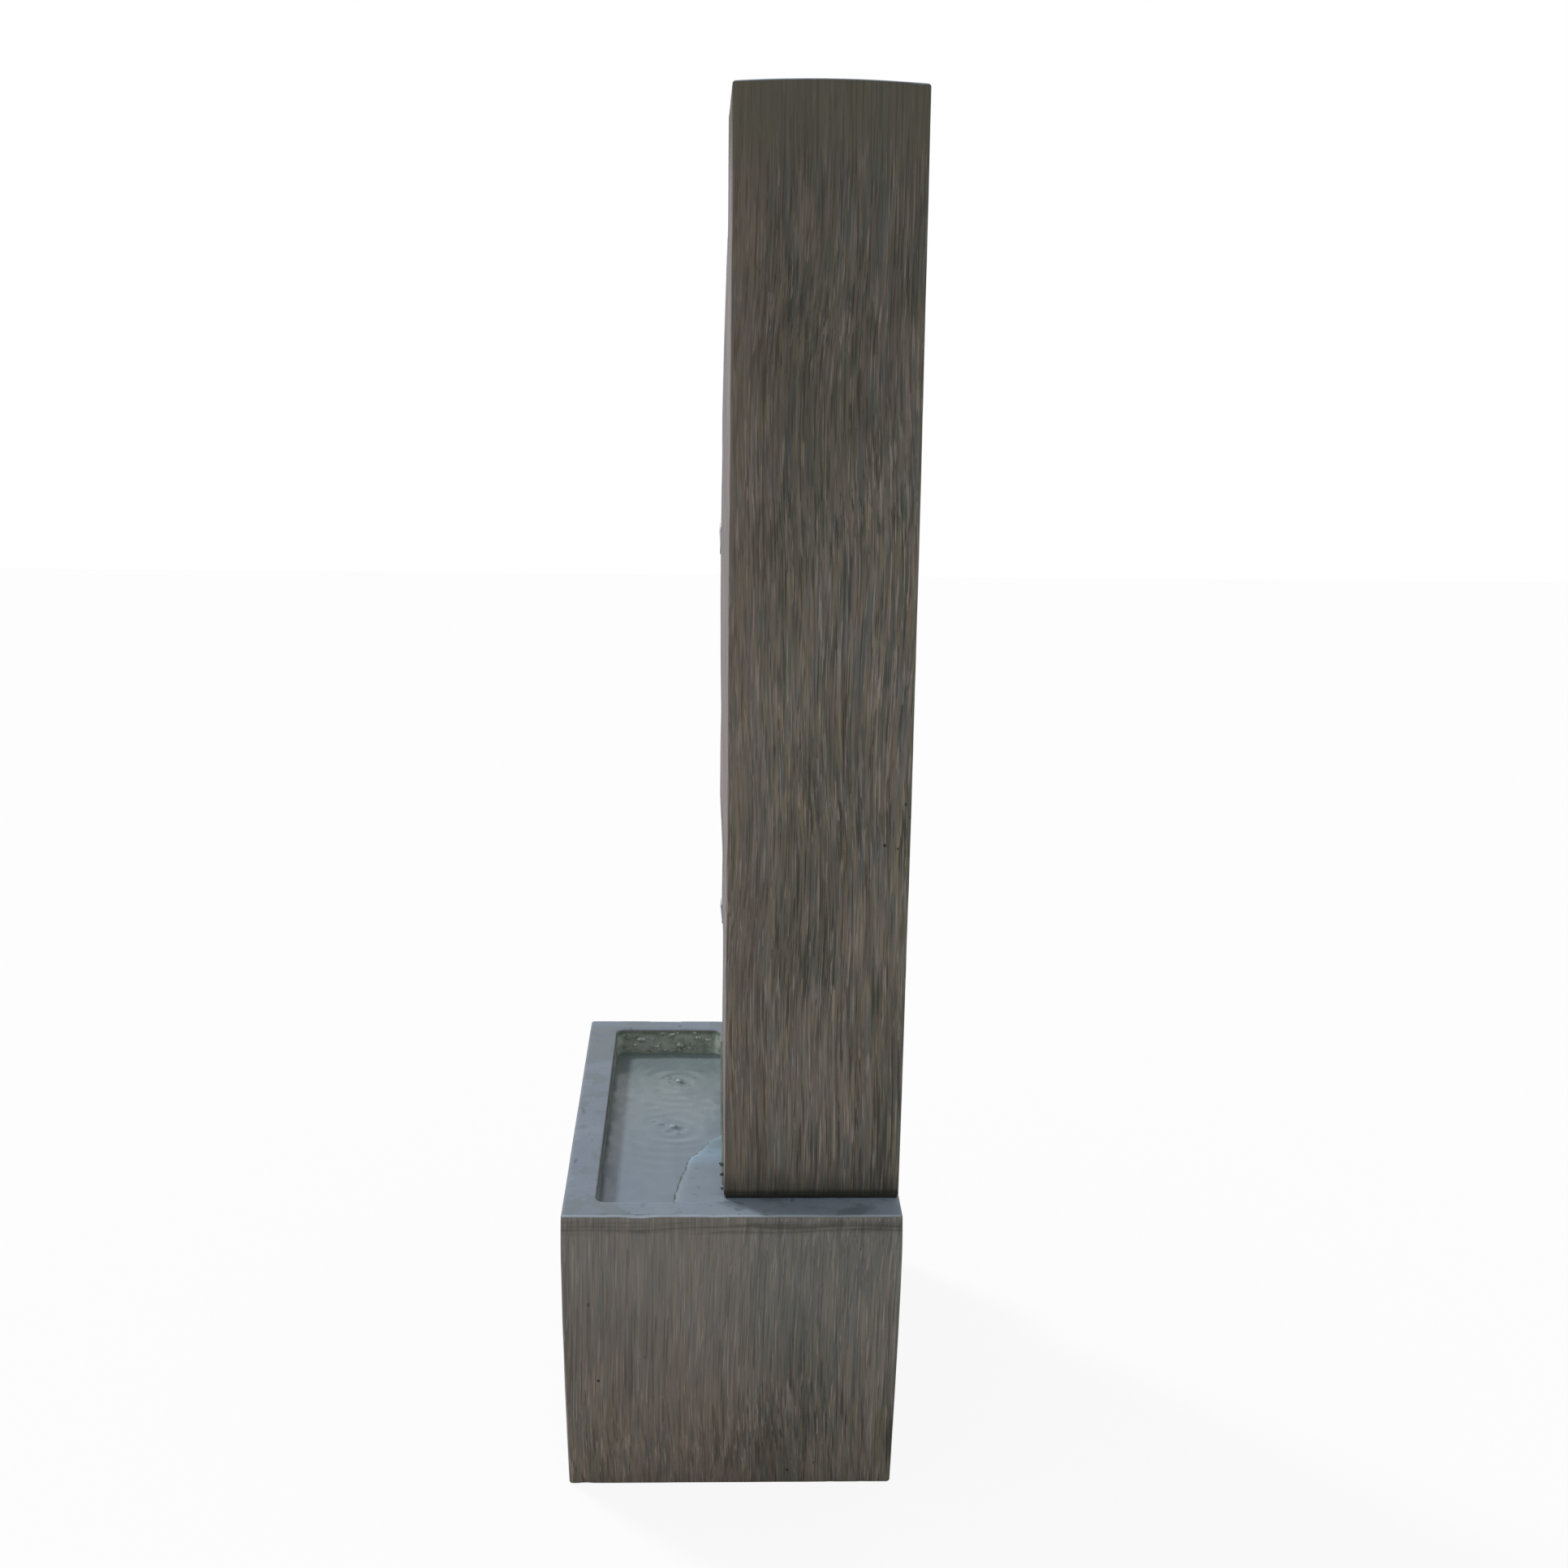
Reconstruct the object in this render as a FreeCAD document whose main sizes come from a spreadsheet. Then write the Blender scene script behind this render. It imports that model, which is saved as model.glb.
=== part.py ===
import FreeCAD, Part
import math
import os
import re
import Sketcher

# Garden wall fountain: a slab column with two spouting mouths stands on the
# rear deck of a rectangular basin, and a pump under the deck feeds both mouths.
# Frame in millimetres: Z up, the front faces -Y, the origin is on the ground
# under the middle of the basin.

SIZES = {
    # Basin
    "basin_width": 545,
    "basin_depth": 340,
    "basin_height": 300,
    "front_draft": 7,
    "side_draft": 5,
    "rear_draft": 5,
    "rim_width": 34,
    "floor_thickness": 30,
    "deck_thickness": 30,
    "partition_thickness": 34,
    "partition_clearance": 0.5,
    "rear_wall_thickness": 34,
    "basin_corner_radius": 12,
    "pool_corner_radius": 10,
    "rim_edge_radius": 4,
    "pool_edge_radius": 2,
    "pump_bay_width": 400,
    "deck_opening_width": 220,
    "deck_opening_margin": 5,
    "deck_seat": 12,
    "deck_clearance": 1,
    "arch_width": 120,
    "arch_height": 90,
    "arch_radius": 30,
    # Ledge in the pool's rear corner
    "ledge_thickness": 40,
    "ledge_side_reach": 49,
    "ledge_length": 166,
    "ledge_toe_radius": 12,
    # Column
    "column_width": 465,
    "column_depth": 176.5,
    "column_height": 1067,
    "column_wall": 18,
    "column_roof": 24,
    "column_crown": 3,
    "column_corner_radius": 6,
    "column_top_radius": 8,
    "rear_inset": 2,
    "column_setback": 1.5,
    "bedding_thickness": 3,
    "bedding_margin": 2,
    # Mouths and the swellings round them
    "upper_mouth_x": -15,
    "upper_mouth_rise": 696,
    "upper_mouth_width": 110,
    "upper_mouth_tall": 106,
    "lower_mouth_inset": 66.5,
    "lower_mouth_rise": 251,
    "lower_mouth_width": 84,
    "lower_mouth_tall": 122,
    "mouth_lip_radius": 4,
    "swell_depth": 10,
    "upper_swell_proud": 6.5,
    "upper_swell_rise": 627,
    "upper_swell_top_margin": 15,
    "upper_swell_half_wide": 190,
    "lower_swell_proud": 5,
    "lower_swell_rise": 337,
    "lower_swell_half_tall": 240,
    "lower_swell_side_margin": 4.5,
    # Dowels
    "dowel_radius": 4,
    "dowel_length": 37,
    "dowel_clearance": 0.05,
    "dowel_margin": 40,
    # Drain
    "bush_radius": 16,
    "bush_flange_radius": 22,
    "bush_flange_thickness": 3,
    "bush_bore_radius": 12,
    "plug_clearance": 0.3,
    "plug_seat_gap": 0.2,
    "plug_head_radius": 15,
    "plug_head_thickness": 5,
    "plug_stem_length": 24,
    "plug_tip_inset": 1,
    "plug_tip_length": 2,
    "plug_pull_radius": 4,
    "plug_waist_radius": 2.8,
    "plug_knob_radius": 4.8,
    "plug_pull_length": 10,
    # Rear access panel
    "panel_opening_width": 300,
    "panel_opening_height": 420,
    "panel_opening_lift": 25,
    "panel_lip": 20,
    "panel_thickness": 6,
    "panel_recess": 1,
    "panel_clearance": 1,
    "panel_screw_radius": 1.75,
    # Wall tie
    "tie_width": 88,
    "tie_tall": 42,
    "tie_thickness": 4,
    "tie_recess": 1,
    "tie_drop": 120,
    "tie_hole_radius": 4.5,
    "tie_bolt_depth": 6,
    "tie_bolt_room_radius": 8.1,
    "tie_screw_spacing": 60,
    "tie_clearance": 0.5,
    # Cable grommet
    "grommet_lift": 40,
    "grommet_radius": 11,
    "grommet_flange_radius": 17,
    "grommet_flange_thickness": 3,
    "grommet_bore_radius": 4,
    # Screws
    "screw_radius": 2,
    "screw_head_radius": 4,
    "screw_head_length": 2.5,
    "screw_grip": 9,
    "screw_clearance": 0.05,
    "screw_socket_radius": 1.7,
    "screw_socket_depth": 1.5,
    # Spill bowls
    "bowl_wall": 4,
    "bowl_drop": 55,
    "bowl_rise": 60,
    "bowl_reach": 95,
    "bowl_ear": 12,
    "bowl_ear_tall": 80,
    "bowl_side_margin": 7,
    "bowl_lip_gap": 2,
    # Hoses, barbs and clamps
    "hose_standoff": 37.5,
    "hose_bore_radius": 8,
    "hose_wall": 3,
    "barb_length": 15,
    "barb_clearance": 0.05,
    "barb_step": 0.8,
    "barb_bore_radius": 5.5,
    "collar_radius": 11.5,
    "collar_length": 3,
    "tail_flange_radius": 17,
    "tail_flange_thickness": 3,
    "tail_thread_radius": 10,
    "tail_thread_clearance": 0.1,
    "nut_thickness": 8,
    "nut_corner_radius": 17,
    "lower_tail_offset": -12,
    "elbow_radius": 10.5,
    "elbow_drop": 14,
    "elbow_arm": 14,
    "elbow_socket_depth": 7,
    "elbow_socket_wall": 2.4,
    "clamp_width": 9,
    "clamp_band": 1.2,
    "clamp_inset": 4,
    "clamp_block": 8,
    # Tee, valve and branch
    "tee_arm": 15,
    "tee_radius": 10.5,
    "valve_length": 36,
    "valve_radius": 14,
    "ball_radius": 10,
    "ball_clearance": 0.3,
    "ball_bore_radius": 5.5,
    "seat_radius": 9,
    "seat_thickness": 4,
    "seat_gap": 0.1,
    "stem_radius": 3,
    "stem_clearance": 0.1,
    "stem_reach": 12,
    "tongue_reach": 2,
    "tongue_thickness": 2,
    "tongue_width": 4.8,
    "neck_wall": 3,
    "lever_length": 46,
    "lever_width": 10,
    "lever_thickness": 4,
    # Hose clips
    "clip_count": 2,
    "clip_half_width": 15,
    "clip_tall": 14,
    "clip_ear": 14,
    "clip_ear_thickness": 4,
    "clip_clearance": 0.1,
    # Pump
    "outlet_setback": 25,
    "outlet_offset": 15,
    "outlet_boss_radius": 13,
    "outlet_height": 45,
    "outlet_stub_length": 12,
    "pump_lift": 40,
    "housing_length": 70,
    "housing_width": 62,
    "housing_height": 66,
    "housing_wall": 3,
    "housing_front_wall": 8,
    "end_cap_thickness": 4,
    "well_radius": 12.25,
    "well_wall": 2,
    "well_depth": 41,
    "bush_seat_depth": 5,
    "cover_length": 40,
    "cover_radius": 30,
    "volute_radius": 24,
    "volute_depth": 30,
    "cover_flange_thickness": 6,
    "cover_screw_margin": 5,
    "intake_radius": 9,
    "spigot_radius": 12,
    "spigot_length": 6,
    "spoke_width": 3,
    "spoke_overlap": 1,
    "spoke_hub_wall": 2,
    "ring_radius": 27,
    "ring_section_radius": 1.4,
    "ring_groove": 2.8,
    "shaft_radius": 2,
    "shaft_clearance": 0.05,
    "shaft_bush_radius": 5,
    "shaft_bush_length": 5,
    "impeller_radius": 21,
    "impeller_gap": 3,
    "impeller_hub_radius": 6,
    "impeller_disc_thickness": 3,
    "vane_length": 12,
    "vane_thickness": 2,
    "vane_count": 6,
    "vane_overlap": 1,
    "vane_tip_inset": 0.8,
    "magnet_radius": 11,
    "magnet_length": 38,
    "rotor_end_gap": 1,
    "core_limb_width": 8,
    "core_half_tall": 12,
    "core_gap": 0.5,
    "core_yoke_width": 8,
    "coil_build": 6,
    "coil_half_length": 14,
    "gland_radius": 8,
    "gland_thread_radius": 6,
    "gland_length": 18,
    "gland_dome_length": 10.8,
    "gland_bore_radius": 3.5,
    # Strainer, dial and feet
    "strainer_length": 48,
    "strainer_wall": 2.5,
    "strainer_seat_gap": 0.3,
    "slot_width": 3,
    "slot_pitch": 8,
    "slot_count": 5,
    "dial_radius": 20,
    "dial_thickness": 4,
    "dial_gap": 0.3,
    "dial_stem_radius": 3,
    "dial_stem_clearance": 0.1,
    "dial_catch_radius": 4.5,
    "dial_window_radius": 4,
    "dial_window_offset": 12,
    "grip_length": 30,
    "grip_width": 5,
    "grip_height": 7,
    "foot_radius": 9,
    "foot_top_radius": 5,
    "foot_inset": 14,
    "foot_stud_radius": 2.5,
    "foot_stud_length": 2,
    # How far a cut runs past the faces that it opens
    "overcut": 1,
}

# Shares of the ledge's length and reach at the corners of its free edge
LEDGE_CORNERS = ((0, 1), (0.24, 0.96), (0.5, 0.86), (0.74, 0.71), (0.9, 0.43))
BARB_RINGS = 3

# Places worked out from the sizes above
half_basin = "(basin_width / 2)"
pool_half = "(basin_width / 2 - rim_width)"
pool_front = "(rim_width - basin_depth / 2)"
column_back = "(basin_depth / 2 - rear_inset)"
column_front = f"({column_back} - column_depth)"
deck_front = f"({column_front} - column_setback)"
column_half = "(column_width / 2)"
column_foot = "(basin_height + bedding_thickness)"
column_top = f"({column_foot} + column_height)"
inner_half = f"({column_half} - column_wall)"
inner_front = f"({column_front} + column_wall)"
inner_back = f"({column_back} - column_wall)"
bay_front = f"({deck_front} + partition_thickness)"
bay_back = "(basin_depth / 2 - rear_wall_thickness)"
bay_top = "(basin_height - deck_thickness)"
pump_x = "(upper_mouth_x + outlet_setback)"
hose_line = f"({inner_front} + hose_standoff)"
pump_y = f"({hose_line} + outlet_offset)"
pump_z = "(floor_thickness + pump_lift)"
hose_radius = "(hose_bore_radius + hose_wall)"
barb_radius = "(hose_bore_radius - barb_clearance)"
clamp_radius = f"({hose_radius} + clamp_band)"
panel_low = f"({column_foot} + panel_opening_lift)"
panel_high = f"({panel_low} + panel_opening_height)"
tie_height = f"({column_top} - tie_drop)"
grommet_height = f"({column_foot} + grommet_lift)"
grommet_x = f"((panel_opening_width / 2 + {inner_half}) / 2)"
drain_y = f"(({pool_front} + {deck_front}) / 2)"
lower_mouth_x = f"(lower_mouth_inset - {inner_half})"
lower_tail_x = f"({lower_mouth_x} + lower_tail_offset)"
upper_mouth_z = f"({column_foot} + upper_mouth_rise)"
lower_mouth_z = f"({column_foot} + lower_mouth_rise)"
upper_lip = f"({upper_mouth_z} - upper_mouth_tall / 2)"
lower_lip = f"({lower_mouth_z} - lower_mouth_tall / 2)"
mouth_places = {"upper": ("upper_mouth_x", upper_mouth_z), "lower": (lower_mouth_x, lower_mouth_z)}
lips = {"upper": upper_lip, "lower": lower_lip}
swell_halves = {
    "upper": ("upper_swell_half_wide", "(column_height - upper_swell_rise - upper_swell_top_margin)"),
    "lower": (f"({column_half} + {lower_mouth_x} - lower_swell_side_margin)", "lower_swell_half_tall"),
}
tee_height = f"({lower_lip} - bowl_drop - bowl_wall - nut_thickness - elbow_drop)"

doc = FreeCAD.newDocument("WallFountain")
sheet = doc.addObject("Spreadsheet::Sheet", "Sizes")
for row, (name, size) in enumerate(SIZES.items(), 1):
    sheet.set(f"A{row}", name)
    sheet.set(f"B{row}", str(size))
    sheet.setAlias(f"B{row}", name)
doc.recompute()

parts = {}
solids_expected = {}
# A body's volume is known to this share, and a point on a face to this distance in millimetres
VOLUME_NOISE = 2e-4
TOUCH = 0.1
# A point lies on a mouth's oval when its distance, as a share of the oval's own, is this close
ON_OVAL = 0.01
TURNS = {
    "x": FreeCAD.Rotation(FreeCAD.Vector(0, 1, 0), 90),
    "y": FreeCAD.Rotation(FreeCAD.Vector(1, 0, 0), -90),
    "z": FreeCAD.Rotation(),
}


# Formulas and bindings
def named(formula):
    """The formula with each size's name pointing at its cell."""
    return re.sub(r"[a-z]\w*", lambda word: "Sizes." + word[0] if word[0] in SIZES else word[0], formula)


def number(formula):
    return float(sheet.evalExpression(named(str(formula))))


def bind(item, prop, formula):
    item.setExpression(prop, named(str(formula)))


def place(item, x, y, z, turn=None):
    if turn is not None:
        item.Placement = FreeCAD.Placement(FreeCAD.Vector(), turn)
    for letter, formula in zip("xyz", (x, y, z)):
        bind(item, f"Placement.Base.{letter}", formula)


def across(axis, centre, along):
    """Three coordinates from the two across an axis and the one along it."""
    spot = dict(zip([letter for letter in "xyz" if letter != axis], centre))
    spot[axis] = along
    return spot["x"], spot["y"], spot["z"]


# Primitives and booleans
def box(x, y, z):
    """A block between three pairs of low and high formulas."""
    block = doc.addObject("Part::Box", "block")
    for side, (low, high) in zip(("Length", "Width", "Height"), (x, y, z)):
        bind(block, side, f"({high}) - ({low})")
    place(block, x[0], y[0], z[0])
    return block


def rod(axis, centre, span, radius):
    bar = doc.addObject("Part::Cylinder", "rod")
    bind(bar, "Radius", radius)
    bind(bar, "Height", f"({span[1]}) - ({span[0]})")
    place(bar, *across(axis, centre, span[0]), turn=TURNS[axis])
    return bar


def cone(axis, centre, span, low_radius, high_radius):
    taper = doc.addObject("Part::Cone", "cone")
    bind(taper, "Radius1", low_radius)
    bind(taper, "Radius2", high_radius)
    bind(taper, "Height", f"({span[1]}) - ({span[0]})")
    place(taper, *across(axis, centre, span[0]), turn=TURNS[axis])
    return taper


def ball(x, y, z, radius):
    """A sphere whose poles lie along X."""
    item = doc.addObject("Part::Sphere", "ball")
    bind(item, "Radius", radius)
    place(item, x, y, z, turn=TURNS["x"])
    return item


def hex_prism(axis, centre, span, radius):
    prism = doc.addObject("Part::Prism", "hex")
    prism.Polygon = 6
    bind(prism, "Circumradius", radius)
    bind(prism, "Height", f"({span[1]}) - ({span[0]})")
    place(prism, *across(axis, centre, span[0]), turn=TURNS[axis])
    return prism


def fuse(items):
    if len(items) == 1:
        return items[0]
    joined = doc.addObject("Part::MultiFuse", "joined")
    joined.Shapes = items
    return joined


def cut(base, tools):
    result = doc.addObject("Part::Cut", "cut")
    result.Base = base
    result.Tool = fuse(tools)
    return result


def tube(axis, centre, span, outer, inner):
    return cut(rod(axis, centre, span, outer), [rod(axis, centre, span, inner)])


def group(items):
    bunch = doc.addObject("Part::Compound", "group")
    bunch.Links = items
    return bunch


def keep(node, item, solids=1):
    """Name a finished sub-part and note how many solids it should hold."""
    item.Label = node
    parts[node] = item
    solids_expected[node] = solids
    return item


# Sketches and body features
def new_body(node):
    body = doc.addObject("PartDesign::Body", node)
    return keep(node, body)


def sketch_on(body, role, offset):
    plane = next(item for item in body.Origin.OriginFeatures if item.Role == role)
    sketch = body.newObject("Sketcher::SketchObject", "sketch")
    sketch.AttachmentSupport = [(plane, "")]
    sketch.MapMode = "FlatFace"
    bind(sketch, "AttachmentOffset.Base.z", offset)
    return sketch


def hold(sketch, letter, piece, point, formula):
    """Tie one coordinate of a sketch point to a formula."""
    place_in = sketch.addConstraint(
        Sketcher.Constraint("Distance" + letter.upper(), -1, 1, piece, point, number(formula)))
    label = f"{letter}{piece}_{point}"
    sketch.renameConstraint(place_in, label)
    bind(sketch, f"Constraints.{label}", formula)


def draw_polygon(sketch, points):
    first = sketch.GeometryCount
    spots = [FreeCAD.Vector(number(x), number(y), 0) for x, y in points]
    count = len(spots)
    for index in range(count):
        sketch.addGeometry(Part.LineSegment(spots[index], spots[(index + 1) % count]), False)
    for index in range(count):
        after = first + (index + 1) % count
        sketch.addConstraint(Sketcher.Constraint("Coincident", first + index, 2, after, 1))
    for index, (x, y) in enumerate(points):
        hold(sketch, "x", first + index, 1, x)
        hold(sketch, "y", first + index, 1, y)


def draw_rectangle(sketch, x, y):
    draw_polygon(sketch, [(x[0], y[0]), (x[1], y[0]), (x[1], y[1]), (x[0], y[1])])


def draw_circle(sketch, x, y, radius):
    piece = sketch.GeometryCount
    centre = FreeCAD.Vector(number(x), number(y), 0)
    sketch.addGeometry(Part.Circle(centre, FreeCAD.Vector(0, 0, 1), number(radius)), False)
    hold(sketch, "x", piece, 3, x)
    hold(sketch, "y", piece, 3, y)
    place_in = sketch.addConstraint(Sketcher.Constraint("Radius", piece, number(radius)))
    sketch.renameConstraint(place_in, f"radius{piece}")
    bind(sketch, f"Constraints.radius{piece}", radius)


def add_feature(body, kind, sketch, length, backwards=False):
    feature = body.newObject("PartDesign::" + kind, kind.lower())
    feature.Profile = sketch
    feature.Reversed = backwards
    bind(feature, "Length", length)
    before = body.Shape.Volume if body.Shape.Solids else 0
    faces_before = len(body.Shape.Faces)
    doc.recompute()
    if body.Shape.isNull() or not body.Shape.isValid():
        raise RuntimeError(f"{body.Label}: {feature.Name} has no valid shape")
    # A small change is lost in the rounding of a swollen face's volume, so faces count too.
    change = body.Shape.Volume - before
    clear = abs(change) > VOLUME_NOISE * before
    wrong_way = clear and (kind == "Pad") != (change > 0)
    if wrong_way or (not clear and len(body.Shape.Faces) == faces_before):
        raise RuntimeError(f"{body.Label}: {feature.Name} changed the volume by {change:.3f}")
    return feature


def add_ellipsoid(body, kind, x, y, z, half_x, half_y, half_z):
    feature = body.newObject(f"PartDesign::{kind}Ellipsoid", kind.lower() + "_ellipsoid")
    bind(feature, "Radius1", half_z)
    bind(feature, "Radius2", half_x)
    bind(feature, "Radius3", half_y)
    plane = next(item for item in body.Origin.OriginFeatures if item.Role == "XY_Plane")
    feature.AttachmentSupport = [(plane, "")]
    feature.MapMode = "FlatFace"
    for letter, formula in zip("xyz", (x, y, z)):
        bind(feature, f"AttachmentOffset.Base.{letter}", formula)
    doc.recompute()
    return feature


def round_edges(body, radius, wanted):
    """Fillet the edges whose middle point passes the test."""
    doc.recompute()
    base = body.Tip
    names = []
    for index, edge in enumerate(base.Shape.Edges, 1):
        middle = edge.valueAt((edge.FirstParameter + edge.LastParameter) / 2)
        if wanted(edge, middle):
            names.append(f"Edge{index}")
    if not names:
        raise RuntimeError(f"{body.Label}: no edge found for a fillet of {radius}")
    fillet = body.newObject("PartDesign::Fillet", "fillet")
    fillet.Base = (base, names)
    bind(fillet, "Radius", radius)
    doc.recompute()
    if not body.Shape.isValid():
        raise RuntimeError(f"{body.Label}: the fillet of {radius} has no valid shape")
    return fillet


def upright(edge):
    return edge.BoundBox.ZLength > 0.8 * edge.Length


def turned(node, x, y, z, profile):
    """A body turned about a vertical axis from radius and height pairs."""
    body = new_body(node)
    sketch = sketch_on(body, "XZ_Plane", "0")
    draw_polygon(sketch, profile)
    feature = body.newObject("PartDesign::Revolution", "revolution")
    feature.Profile = sketch
    feature.ReferenceAxis = (sketch, ["V_Axis"])
    feature.Angle = 360
    place(body, x, y, z)
    return body


# Screws: the head lies from the seat outwards, against the way the screw points
def screw(axis, centre, seat, way, radius="screw_radius"):
    """A socket screw that points along way, +1 or -1, from its seat."""
    inside = f"({seat} + {way} * screw_grip)"
    outside = f"({seat} - {way} * screw_head_length)"
    socket = f"({outside} + {way} * screw_socket_depth)"
    shank = rod(axis, centre, ordered(way, seat, inside), radius)
    head = rod(axis, centre, ordered(way, outside, seat), "screw_head_radius")
    recess = hex_prism(axis, centre, ordered(way, outside, socket), "screw_socket_radius")
    return cut(fuse([shank, head]), [recess])


def ordered(way, start, end):
    return (start, end) if way > 0 else (end, start)


def barb(axis, centre, root, way):
    """Barbs on a stub that leaves its root along way, +1 or -1."""
    tip = f"({root} + {way} * barb_length)"
    pieces = [rod(axis, centre, ordered(way, root, tip), f"{barb_radius} - barb_step")]
    for step in range(BARB_RINGS):
        start = f"({root} + {way} * barb_length * {step} / {BARB_RINGS})"
        end = f"({root} + {way} * barb_length * {step + 1} / {BARB_RINGS})"
        wide, slim = barb_radius, f"{barb_radius} - barb_step"
        low, high = ordered(way, wide, slim)
        pieces.append(cone(axis, centre, ordered(way, start, end), low, high))
    return pieces


def clamp(axis, centre, root, way, side):
    """A hose clamp near a hose's end, with its screw block on one side."""
    near = f"({root} + {way} * clamp_inset)"
    far = f"({root} + {way} * (clamp_inset + clamp_width))"
    span = ordered(way, near, far)
    band = tube(axis, centre, span, clamp_radius, hose_radius)
    spot = dict(zip([letter for letter in "xyz" if letter != axis], centre))
    letters = list(spot)
    reach = {
        letters[side]: (f"({spot[letters[side]]} + {hose_radius} + clamp_band / 2)",
                        f"({spot[letters[side]]} + {clamp_radius} + clamp_block)"),
        letters[1 - side]: (f"({spot[letters[1 - side]]} - clamp_block / 2)",
                            f"({spot[letters[1 - side]]} + clamp_block / 2)"),
        axis: span,
    }
    return fuse([band, box(reach["x"], reach["y"], reach["z"])])


# Basin: drafted shell with a wide pool in front and a narrower pump bay behind it
def make_basin():
    body = new_body("basin_shell")
    side = sketch_on(body, "YZ_Plane", f"-{half_basin}")
    draw_polygon(side, [
        ("front_draft - basin_depth / 2", "0"),
        ("basin_depth / 2 - rear_draft", "0"),
        ("basin_depth / 2", "basin_height"),
        ("-basin_depth / 2", "basin_height"),
    ])
    add_feature(body, "Pad", side, "basin_width")
    wedges = sketch_on(body, "XZ_Plane", "basin_depth / 2 + overcut")
    for sign in ("-", ""):
        draw_polygon(wedges, [
            (f"{sign}({half_basin} - side_draft)", "0"),
            (f"{sign}{half_basin}", "basin_height"),
            (f"{sign}({half_basin} + side_draft)", "basin_height"),
            (f"{sign}({half_basin} + side_draft)", "0"),
        ])
    add_feature(body, "Pocket", wedges, "basin_depth + 2 * overcut")
    round_edges(body, "basin_corner_radius", lambda edge, middle: upright(edge))

    pool = sketch_on(body, "XY_Plane", "basin_height")
    draw_rectangle(pool, (f"-{pool_half}", pool_half), (pool_front, deck_front))
    add_feature(body, "Pocket", pool, "basin_height - floor_thickness")
    half = number(pool_half)
    round_edges(body, "pool_corner_radius",
                lambda edge, middle: upright(edge) and abs(abs(middle.x) - half) < TOUCH)
    top = number("basin_height")
    half_depth = number("basin_depth / 2")
    outer = number(half_basin)
    round_edges(body, "rim_edge_radius",
                lambda edge, middle: abs(middle.z - top) < TOUCH
                and (abs(abs(middle.x) - outer) < TOUCH or abs(abs(middle.y) - half_depth) < TOUCH))
    front = number(pool_front)
    round_edges(body, "pool_edge_radius",
                lambda edge, middle: abs(middle.z - top) < TOUCH and abs(middle.y - front) < TOUCH)

    bay = sketch_on(body, "XY_Plane", "basin_height")
    draw_rectangle(bay, ("-pump_bay_width / 2", "pump_bay_width / 2"), (deck_front, bay_back))
    add_feature(body, "Pocket", bay, "basin_height - floor_thickness")
    deck_seat = sketch_on(body, "XY_Plane", "basin_height")
    draw_rectangle(deck_seat, ("-pump_bay_width / 2 - deck_seat", "pump_bay_width / 2 + deck_seat"),
                   (f"{bay_front} - deck_seat", f"{bay_back} + deck_seat"))
    add_feature(body, "Pocket", deck_seat, "deck_thickness")

    seat = sketch_on(body, "XY_Plane", "floor_thickness")
    draw_circle(seat, "0", drain_y, "bush_flange_radius")
    add_feature(body, "Pocket", seat, "bush_flange_thickness")
    drain = sketch_on(body, "XY_Plane", "floor_thickness")
    draw_circle(drain, "0", drain_y, "bush_radius")
    add_feature(body, "Pocket", drain, "floor_thickness")
    sockets = sketch_on(body, "XY_Plane", "basin_height")
    for x, y in dowel_places():
        draw_circle(sockets, x, y, "dowel_radius + dowel_clearance")
    add_feature(body, "Pocket", sockets, "(dowel_length - bedding_thickness) / 2")


def make_partition():
    """The wall between pool and pump: it stands in the bay and carries the slab's front edge."""
    body = new_body("chamber_wall")
    half = "(pump_bay_width / 2 - partition_clearance)"
    seat_edge = f"({bay_front} - deck_seat)"
    section = sketch_on(body, "YZ_Plane", f"-{half}")
    draw_polygon(section, [
        (deck_front, "floor_thickness"),
        (bay_front, "floor_thickness"),
        (bay_front, bay_top),
        (seat_edge, bay_top),
        (seat_edge, "basin_height"),
        (deck_front, "basin_height"),
    ])
    add_feature(body, "Pad", section, f"2 * {half}")
    arch = sketch_on(body, "XZ_Plane", f"-{deck_front}")
    draw_rectangle(arch, ("-arch_width / 2", "arch_width / 2"),
                   ("floor_thickness", "floor_thickness + arch_height"))
    add_feature(body, "Pocket", arch, "partition_thickness")
    crown = number("floor_thickness + arch_height")
    side = number("arch_width / 2")
    round_edges(body, "arch_radius",
                lambda edge, middle: abs(middle.z - crown) < TOUCH and abs(abs(middle.x) - side) < TOUCH)


def make_deck():
    """The slab over the pump bay, which lies in a seat inside the column's foot."""
    body = new_body("deck_slab")
    outline = sketch_on(body, "XY_Plane", bay_top)
    half = "(pump_bay_width / 2 + deck_seat - deck_clearance)"
    draw_rectangle(outline, (f"-{half}", half), (f"{bay_front} - deck_seat + deck_clearance",
                                                 f"{bay_back} + deck_seat - deck_clearance"))
    add_feature(body, "Pad", outline, "deck_thickness")
    hatch = sketch_on(body, "XY_Plane", "basin_height")
    draw_rectangle(hatch, ("-deck_opening_width / 2", "deck_opening_width / 2"),
                   (f"{bay_front} + deck_opening_margin", f"{bay_back} - deck_opening_margin"))
    add_feature(body, "Pocket", hatch, "deck_thickness")


def dowel_places():
    side = f"({column_half} - column_wall / 2)"
    return [(f"{sign}{side}", y) for sign in ("-", "")
            for y in (f"({column_front} + dowel_margin)", f"({column_back} - dowel_margin)")]


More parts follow.
